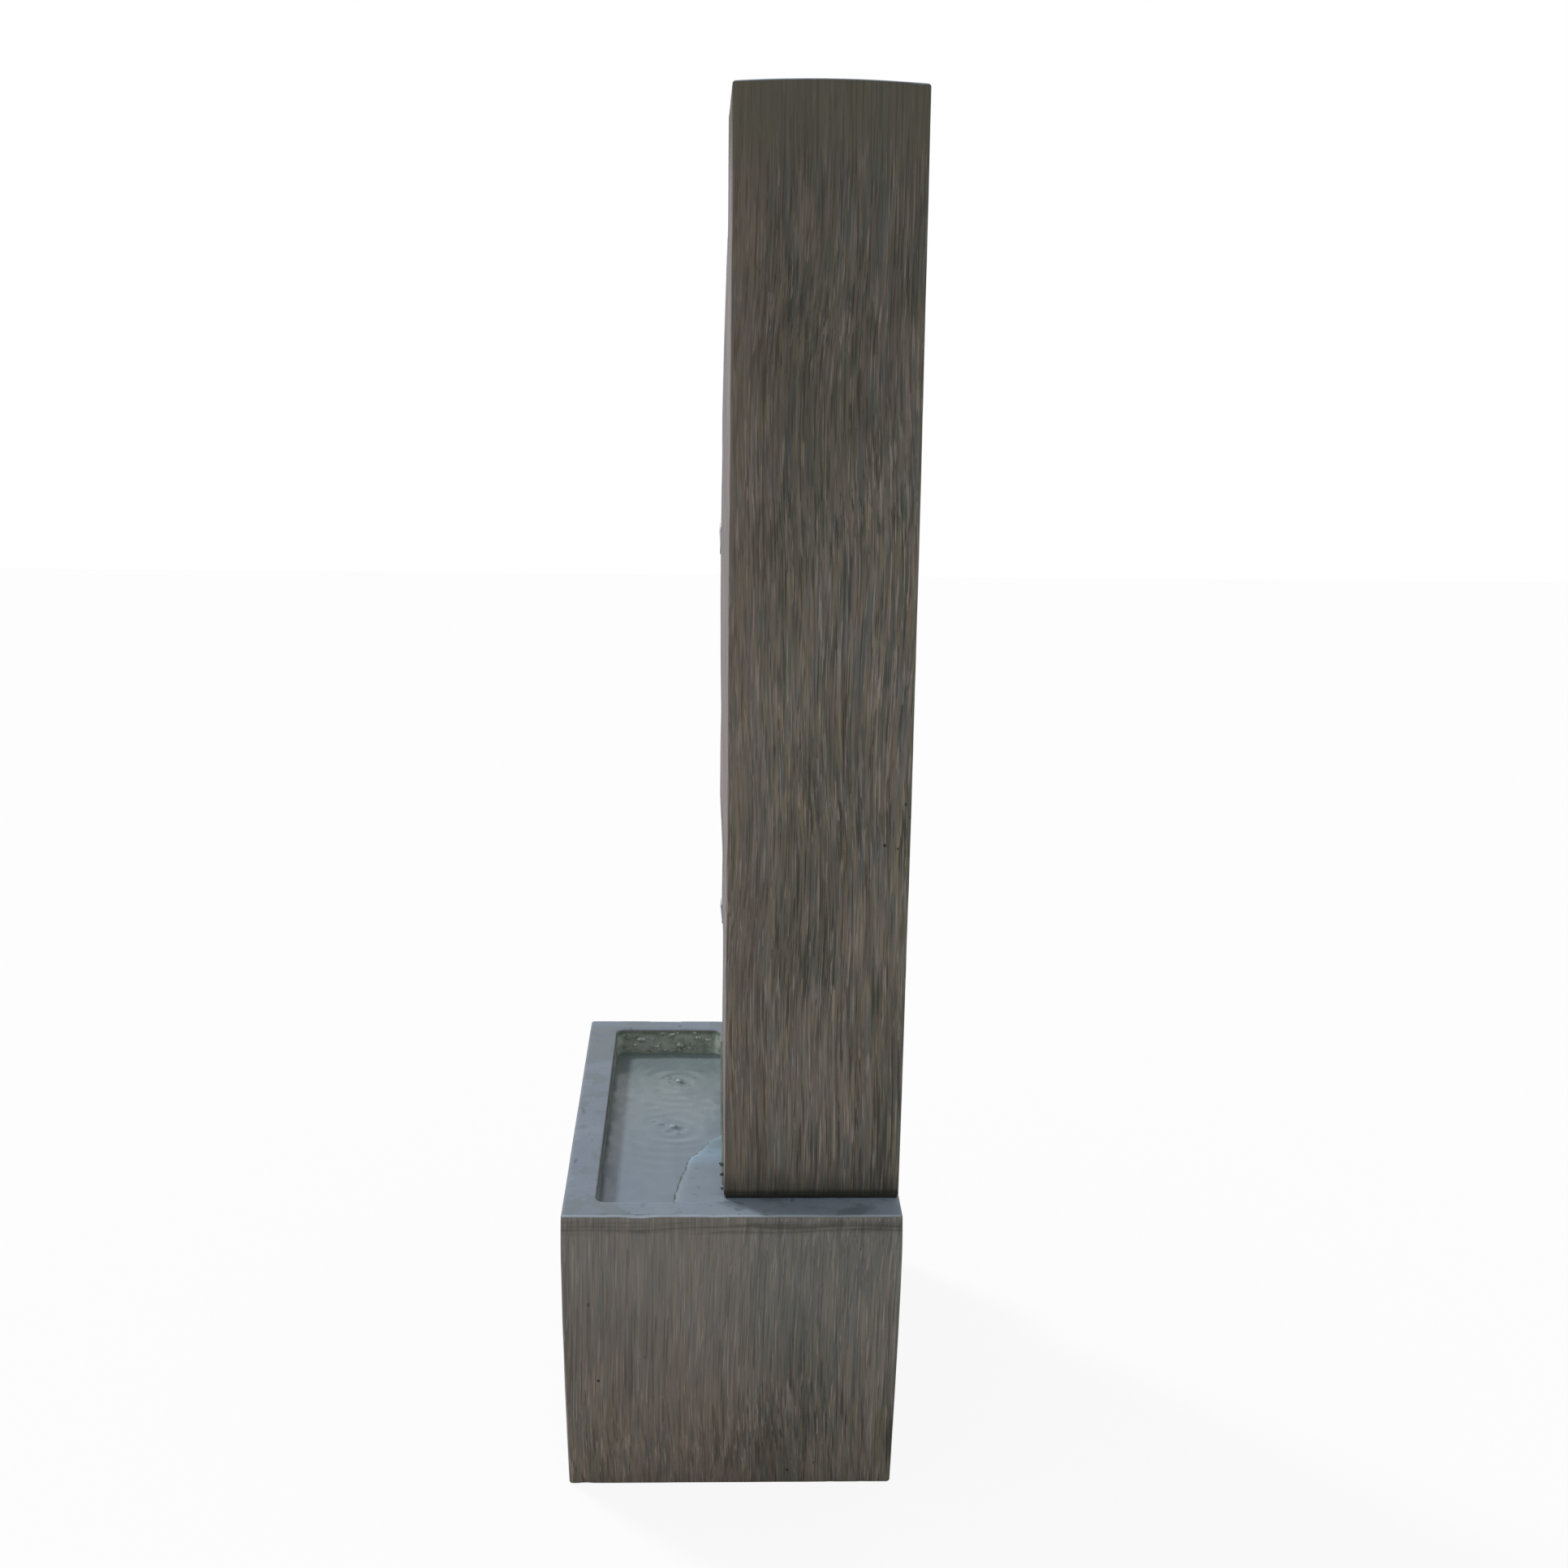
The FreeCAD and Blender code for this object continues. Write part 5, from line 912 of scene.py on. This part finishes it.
# %% [markdown]
# ## Water in the pool
# The water stands a little below the rim. The two streams strike it in front of the
# mouths, rings run out from there, and the walls throw them back, so that crests cross
# each other. A wall acts like a mirror: its returned rings seem to come from a point as
# far behind it. The surface is a fine grid whose height sums all those rings, and the
# cloudy water is a closed body with a smooth, slightly murky finish that mirrors the sky.

# %% Water in the pool
WATER_BOTTOM = 0.100
WATER_CELL = 0.0019
WALL_LOSS = 0.6
RING_FADE = 0.042
# place of each impact, ring height and ring length
IMPACTS = ((-0.147, -0.060, 0.00085, 0.0180), (-0.014, -0.064, 0.00065, 0.0200))
# small mounds where the streams churn the surface: place, height, radius
MOUNDS = (
    (-0.147, -0.060, 0.0024, 0.0048), (-0.139, -0.066, 0.0017, 0.0035),
    (-0.156, -0.071, 0.0014, 0.0030), (-0.140, -0.052, -0.0022, 0.0050),
    (-0.014, -0.064, 0.0022, 0.0045), (-0.004, -0.070, 0.0015, 0.0030),
    (-0.022, -0.078, 0.0013, 0.0030), (0.004, -0.058, 0.0012, 0.0028),
    (-0.030, -0.086, 0.0011, 0.0024), (-0.118, -0.086, 0.0010, 0.0024),
    (-0.163, -0.052, 0.0010, 0.0026), (-0.008, -0.054, -0.0014, 0.0045),
)


def ring_sources():
    """Each impact, and its mirror image behind the rear wall."""
    sources = []
    for x, y, tall, length in IMPACTS:
        sources.append((x, y, tall, length))
        sources.append((x, 2 * POOL_HIGH.y - y, tall * WALL_LOSS, length))
    return sources


RING_SOURCES = ring_sources()


def water_height(x, y):
    bend = 0.0045 * noise.noise(Vector((x * 24, y * 24, 4)))
    height = 0.0
    for index, (centre_x, centre_y, tall, length) in enumerate(RING_SOURCES):
        away = math.hypot(x - centre_x, y - centre_y)
        broken = 0.25 + 0.75 * abs(noise.noise(Vector((x * 19, y * 19, 3 + index * 7)))) * 2
        ring = math.cos(2 * math.pi * (away + bend) / length)
        height += tall * ring * math.exp(-away / RING_FADE) * min(broken, 1.0)
    for centre_x, centre_y, tall, radius in MOUNDS:
        away = math.hypot(x - centre_x, y - centre_y)
        height += tall * math.exp(-(away / radius) ** 2)
    calm = min(max((0.05 - x) / 0.09, 0.0), 1.0)
    height += calm * 0.0003 * noise.noise(Vector((x * 55, y * 85, 8)))
    height += 0.0004 * noise.noise(Vector((x * 12, y * 22, 2)))
    return height


def make_murky_water():
    finish = Finish("murky_water", specular=0.3)
    across, _, height = finish.axes(finish.place)
    cloud = finish.noise(9, (1, 1.6, 1), detail=3.0, shift=(2, 6, 1))
    # painted reflection: bluer towards the near side, where the water mirrors the sky, and greener
    # towards the far wall
    near = finish.step(across, -0.20, 0.12)
    colour = finish.blend(near, paint(122, 136, 138), paint(112, 129, 146))
    colour = finish.blend(finish.step(cloud, 0.35, 0.7) * 0.35, colour, paint(104, 119, 128))
    churn = finish.step(finish.noise(420, shift=(5, 1, 4)), 0.38, 0.58)
    froth = finish.step(height, WATER_LEVEL + 0.0011, WATER_LEVEL + 0.0026) * churn * 0.8
    colour = finish.blend(froth, colour, paint(214, 222, 232))
    film = finish.noise(24, (1, 2.0, 1), warp=0.5, shift=(3, 3, 0))
    return finish.done(colour, finish.step(film, 0.42, 0.62, 0.18, 0.34), film, 0.0008, 0.35)


def make_pool_water():
    low = Vector((POOL_LOW.x - 0.0008, POOL_LOW.y - 0.0008, WATER_BOTTOM))
    high = Vector((POOL_HIGH.x + 0.0008, POOL_HIGH.y + 0.0008, WATER_LEVEL))
    counts = (round((high.x - low.x) / WATER_CELL), round((high.y - low.y) / WATER_CELL), 1)
    bm = cut_cube(counts)
    for vert in bm.verts:
        x = between(vert.co.x, low.x, high.x)
        y = between(vert.co.y, low.y, high.y)
        z = WATER_LEVEL + water_height(x, y) if vert.co.z > 0 else WATER_BOTTOM
        vert.co = Vector((x, y, z))
    return settle(carve("pool_water", bm), make_murky_water(), sharp=60)


make_pool_water()

# %% [markdown]
# ## Water in the bowls and over the lips
# Behind each mouth a bowl brims over. The water slides across the throat, bends round
# the lip in a thin skin and runs down the face for a finger's width before it thins
# out. The skin is a cut cube whose two sides follow the stone: the inner side lies just
# under its surface, and the outer side stands off by the thickness of the water there.

# %% Water in the bowls and over the lips
BRIM = 0.004
SKIN = 0.0012
RUN = 0.026
INSIDE_HALF = {"upper": 0.058, "lower": 0.045}
BOWL_WALL = 0.004
BOWL_DROP = 0.055


def make_clear_water():
    finish = Finish("clear_water", specular=0.5)
    finish.give("Coat Weight", 0.6)
    finish.give("Coat Roughness", 0.03)
    drift = finish.noise(45, (1, 1, 0.3))
    colour = finish.blend(drift, paint(88, 98, 104), paint(112, 122, 130))
    ripple = finish.noise(160, (1, 1, 0.4))
    return finish.done(colour, finish.step(drift, 0.3, 0.7, 0.04, 0.14), ripple, 0.0008, 0.5)


clear_water = make_clear_water()


def lip_spot(which, x, share):
    """A place on the stone under the skin, the way out of it and the skin's thickness."""
    centre_x, centre_z, half_x, half_z, lip = MOUTHS[which]
    face = SLAB_FRONT - swell_height(centre_x, centre_z - half_z)
    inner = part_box(f"{which}_spill_bowl")[0][1] + BOWL_WALL + 0.001
    brim = centre_z - half_z + BRIM

    def floor_height(grow):
        side = (x - centre_x) / (half_x + grow)
        return centre_z - (half_z + grow) * math.sqrt(max(1 - side * side, 0))

    if share < 0.4:
        place = Vector((x, inner + (face + lip - inner) * share / 0.4, floor_height(0)))
        return place, Vector((0, 0, 1)), max(brim - place.z, SKIN)
    if share < 0.7:
        angle = math.pi / 2 * (share - 0.4) / 0.3
        grow = lip * (1 - math.cos(angle))
        place = Vector((x, face + lip - lip * math.sin(angle), floor_height(grow)))
        thick = SKIN + (max(brim - floor_height(0), SKIN) - SKIN) * math.cos(angle) ** 2
        return place, Vector((0, -math.sin(angle), math.cos(angle))), thick
    down = (share - 0.7) / 0.3
    wander = 0.75 + 0.5 * noise.noise(Vector((x * 70, 1.7, centre_z)))
    height = floor_height(lip) - RUN * down * wander
    place = Vector((x, SLAB_FRONT - swell_height(x, height), height))
    return place, Vector((0, -1, 0)), SKIN * (1 - down) + 0.0002


def make_lip_water(which):
    centre_x, centre_z, half_x, half_z, lip = MOUTHS[which]
    chord = half_x * math.sqrt(1 - ((half_z - BRIM) / half_z) ** 2)
    bm = cut_cube((28, 60, 1))
    for vert in bm.verts:
        side = vert.co.x
        place, way, thick = lip_spot(which, centre_x + side * chord, (vert.co.y + 1) / 2)
        taper = 1 - side ** 4
        ripple = 1 + 0.3 * noise.noise(place * 260)
        offset = 0.0002 + thick * taper * ripple if vert.co.z > 0 else -0.0006
        vert.co = place + way * offset
    bmesh.ops.recalc_face_normals(bm, faces=bm.faces)
    return settle(carve(f"{which}_lip_water", bm), clear_water, sharp=60)


def make_bowl_water(which):
    centre_x, centre_z, half_x, half_z, lip = MOUTHS[which]
    brim = centre_z - half_z + BRIM
    bowl_low, bowl_high = (Vector(corner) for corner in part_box(f"{which}_spill_bowl"))
    low = Vector((centre_x - INSIDE_HALF[which], bowl_low.y + BOWL_WALL, brim - BRIM - BOWL_DROP))
    high = Vector((centre_x + INSIDE_HALF[which], bowl_high.y - BOWL_WALL, brim))
    bm = cut_cube((40, 30, 1))
    for vert in bm.verts:
        spot = Vector([between(vert.co[axis], low[axis], high[axis]) for axis in range(3)])
        if vert.co.z > 0:
            spot.z += 0.0006 * noise.noise(spot * 55)
        vert.co = spot
    return settle(carve(f"{which}_bowl_water", bm), clear_water, sharp=60)


for which in MOUTHS:
    make_bowl_water(which)
    make_lip_water(which)

# %% [markdown]
# ## Flakes, moss and drops
# What makes an old basin look used is small: flakes of scale on the far inner wall,
# moss at the column's foot, and drops that the splashing leaves on the rim. Each is a
# round seed shape, an icosphere, copied many times with its own size, stretch and noise
# into one mesh per kind.

# %% Flakes, moss and drops
# places along Y and Z on the far wall, and sizes
FLAKES = (
    (-0.1048, 0.2879, 0.0068), (-0.0583, 0.2805, 0.0058), (-0.0696, 0.2935, 0.0046),
    (-0.0245, 0.2880, 0.0040), (-0.0950, 0.2735, 0.0030), (-0.0766, 0.2735, 0.0028),
    (-0.0654, 0.2735, 0.0030), (-0.0130, 0.2760, 0.0034), (-0.1217, 0.2735, 0.0030),
    (-0.1150, 0.2800, 0.0034), (-0.0880, 0.2790, 0.0042), (-0.0470, 0.2765, 0.0040),
    (-0.0370, 0.2900, 0.0036), (-0.0800, 0.2955, 0.0030), (-0.0420, 0.2960, 0.0028),
    (-0.1270, 0.2930, 0.0026),
)
# places along X and Y, and sizes
MOSS = (
    (0.151, -0.0098, 0.0026), (0.176, -0.0096, 0.0022), (0.209, -0.0098, 0.0016),
)
DROPS = (
    (-0.2480, -0.080, 0.0010), (-0.2492, -0.069, 0.0012), (-0.2535, -0.073, 0.0007),
    (-0.2438, -0.062, 0.0008), (-0.2560, -0.086, 0.0006), (-0.1140, -0.150, 0.0011),
    (-0.1060, -0.156, 0.0006), (-0.0720, -0.161, 0.0012), (-0.0610, -0.157, 0.0007),
    (0.0740, -0.152, 0.0010), (0.0640, -0.158, 0.0006), (-0.0300, -0.148, 0.0007),
    (-0.1400, -0.146, 0.0007), (-0.2450, -0.104, 0.0007),
)


def add_pebble(bm, place, radii, rough, seed):
    """A lumpy icosphere with its own three radii."""
    made = bmesh.ops.create_icosphere(bm, subdivisions=2, radius=1, matrix=Matrix())
    for vert in made["verts"]:
        lump = 1 + rough * noise.noise(vert.co * 2.1 + Vector((seed * 3.7, seed, 0)))
        vert.co = Vector(place) + Vector([vert.co[axis] * radii[axis] * lump for axis in range(3)])


def make_flakes():
    bm = bmesh.new()
    for seed, (y, z, size) in enumerate(FLAKES):
        place = (POOL_LOW.x + 0.0002, y, z)
        add_pebble(bm, place, (size * 0.42, size, size * 0.5), 0.9, seed)
        for crumb in range(3):
            angle = seed * 2.4 + crumb * 2.1
            up = min(z + math.sin(angle) * size, RIM - 0.004)
            spot = (place[0], y + math.cos(angle) * size * 1.9, up)
            add_pebble(bm, spot, (size * 0.22,) * 3, 0.7, seed + crumb * 11)
    finish = Finish("wall_scale", specular=0.45)
    mix = finish.noise(190, detail=3.0)
    colour = finish.blend(finish.step(mix, 0.4, 0.62), paint(138, 152, 138), paint(206, 214, 206))
    scale = finish.done(colour, finish.step(mix, 0.3, 0.7, 0.28, 0.6))
    return settle(carve("wall_flakes", bm), scale, sharp=70)


def make_moss():
    bm = bmesh.new()
    for seed, (x, y, size) in enumerate(MOSS):
        for tuft in range(9):
            angle = tuft * 2.4 + seed
            away = size * 0.38 * math.sqrt(tuft)
            back = y + min(math.sin(angle) * away, 0.0015)
            spot = (x + math.cos(angle) * away * 1.5, back, RIM + 0.0004)
            add_pebble(bm, spot, (size * 0.34, size * 0.30, size * 0.20), 0.9, seed * 9 + tuft)
    finish = Finish("moss", specular=0.1)
    mix = finish.noise(600)
    colour = finish.blend(finish.step(mix, 0.4, 0.6), paint(58, 66, 58), paint(96, 106, 96))
    return settle(carve("foot_moss", bm), finish.done(colour, 0.95, mix, 0.001), sharp=180)


def make_drops():
    bm = bmesh.new()
    for seed, (x, y, size) in enumerate(DROPS):
        add_pebble(bm, (x, y, RIM - 0.0006), (size, size * 0.9, size * 0.5), 0.25, seed)
    return settle(carve("rim_drops", bm), clear_water, sharp=180)


make_flakes()
make_moss()
make_drops()

# %% [markdown]
# ## Finishes for the fittings
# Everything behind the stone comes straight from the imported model: bowls, hoses, clamps,
# valve, pump. Each sub-part only needs a finish. A few kinds cover them all: brushed or
# polished metal, moulded plastic, rubber, and some cast or ground materials.

# %% Kinds of finish
def make_metal(name, colour, dark, roughness, stretch=(1, 1, 0.05)):
    """Satin metal with fine tool marks and a little tarnish."""
    finish = Finish(name, metallic=1.0)
    marks = finish.noise(500, stretch, detail=3.0)
    tarnish = finish.step(finish.noise(60, detail=4.0, shift=(2, 2, 5)), 0.5, 0.7) * 0.6
    rough = marks * 0.2 + tarnish * 0.25 + (roughness - 0.1)
    return finish.done(finish.blend(tarnish, colour, dark), rough, marks, 0.0002, 0.5)


def make_moulded(name, colour, roughness, grain=700, relief=0.0002):
    """Moulded plastic or rubber: an even colour, worn a little paler in patches."""
    finish = Finish(name)
    worn = finish.step(finish.noise(35, detail=4.0, shift=(1, 6, 2)), 0.45, 0.75)
    pale = tuple(min(part * 1.5 + 0.012, 1.0) for part in colour[:3]) + (1.0,)
    skin = finish.blend(worn * 0.5, colour, pale)
    return finish.done(skin, worn * 0.15 + roughness, finish.noise(grain), relief, 0.6)


def make_hose_plastic():
    """Milky soft tube with a faint green film inside."""
    finish = Finish("clear_hose")
    film = finish.step(finish.noise(28, (1, 1, 0.4), detail=3.0), 0.4, 0.7)
    finish.give("Transmission Weight", 0.45)
    finish.give("IOR", 1.45)
    colour = finish.blend(film, paint(196, 204, 202), paint(160, 176, 158))
    return finish.done(colour, film * 0.15 + 0.18)


def make_raw_stone(name, low, high, roughness=0.9):
    """Concrete as it leaves the mould: cloudy, with small air holes that are painted dark as painted
    shade.
    """
    finish = Finish(name, specular=0.25)
    cloud = finish.noise(22, detail=5.0, rough=0.6)
    hole = finish.step(finish.cells(120.0), 0.16, 0.08)
    colour = finish.blend(finish.step(cloud, 0.3, 0.7), low, high)
    # painted shade: the small air holes are made dark
    colour = finish.blend(hole * 0.6, colour, paint(40, 42, 38))
    rough = finish.step(cloud, 0.3, 0.7, roughness - 0.12, roughness)
    return finish.done(colour, rough, cloud * 0.6 - hole, 0.001, 0.6)


def make_layered(name, metallic, wave, low, high, roughness, depth):
    """Metal in many thin layers: stacked sheets, or wire laid turn by turn."""
    along, scale, waver = wave
    smooth, spread = roughness
    finish = Finish(name, metallic=metallic)
    bands = {"wave_type": "BANDS", "bands_direction": along}
    layers = finish.node("ShaderNodeTexWave", bands, {
        "Vector": finish.place, "Scale": scale, "Distortion": waver})
    return finish.done(finish.blend(layers, low, high), layers * spread + smooth, layers, depth)


# %% [markdown]
# Each row of the table gives one finish and the sub-parts that have it.

# %% Finishes for the fittings
FITTING_FINISHES = (
    (make_metal("stainless", paint(190, 190, 192), paint(128, 126, 122), 0.3),
     ("locating_dowels", "panel_screws", "wall_tie_plate", "tie_screws", "bowl_screws", "hose_clamps",
      "clip_screws", "volute_screws")),
    (make_metal("brass", paint(206, 168, 96), paint(112, 92, 58), 0.32), ("drain_bush", "valve_body")),
    (make_metal("chromed_ball", paint(224, 224, 228), paint(196, 196, 200), 0.16), ("valve_ball",)),
    (make_moulded("black_rubber", paint(30, 30, 31), 0.7, relief=0.0003),
     ("drain_plug", "cable_grommet", "suction_feet", "volute_o_ring")),
    (make_moulded("panel_plastic", paint(88, 84, 80), 0.5, grain=420, relief=0.0004),
     ("rear_access_panel",)),
    (make_moulded("bowl_plastic", paint(64, 67, 68), 0.42), ("upper_spill_bowl", "lower_spill_bowl")),
    (make_moulded("fitting_plastic", paint(44, 44, 46), 0.4),
     ("upper_bowl_tail", "lower_bowl_tail", "tail_nuts", "branch_elbow", "hose_tee", "hose_clips",
      "outlet_barb")),
    (make_hose_plastic(), ("riser_hose", "upper_hose", "link_hose", "lower_hose")),
    (make_moulded("seat_plastic", paint(226, 226, 222), 0.35), ("valve_seats",)),
    (make_moulded("lever_red", paint(164, 34, 26), 0.3), ("valve_lever",)),
    (make_moulded("pump_plastic", paint(38, 40, 43), 0.45),
     ("pump_housing", "pump_end_cap", "volute_cover", "pump_cable_gland", "intake_strainer")),
    (make_moulded("dial_plastic", paint(104, 108, 110), 0.42), ("flow_dial",)),
    (make_moulded("impeller_plastic", paint(206, 205, 198), 0.4), ("impeller",)),
    (make_moulded("magnet", paint(52, 52, 53), 0.55, grain=240), ("rotor_magnet",)),
    (make_moulded("ceramic", paint(232, 230, 222), 0.2), ("rotor_shaft", "shaft_bushes")),
    (make_layered("core_steel", 0.9, ("Z", 320.0, 0.4), paint(92, 92, 96), paint(150, 150, 154),
                  (0.35, 0.2), 0.0002), ("stator_core",)),
    (make_layered("copper", 0.85, ("Y", 260.0, 0.6), paint(132, 66, 34), paint(214, 128, 78),
                  (0.25, 0.15), 0.0004), ("stator_winding",)),
    (make_moulded("resin", paint(34, 34, 38), 0.16), ("potting_resin",)),
    (make_raw_stone("deck_stone", paint(104, 104, 98), paint(140, 138, 130)), ("deck_slab",)),
    (make_raw_stone("chamber_stone", paint(76, 88, 76), paint(118, 128, 112), 0.6), ("chamber_wall",)),
    (make_raw_stone("foot_joint", paint(26, 28, 27), paint(46, 49, 47), 0.7), ("bedding_strip",)),
)

for material, names in FITTING_FINISHES:
    for name in names:
        mesh = nodes[name].data
        mesh.materials.clear()
        mesh.materials.append(material)
finished = {name for _, names in FITTING_FINISHES for name in names}
print(len(finished), "fittings finished, left for the stone:", sorted(set(nodes) - finished))
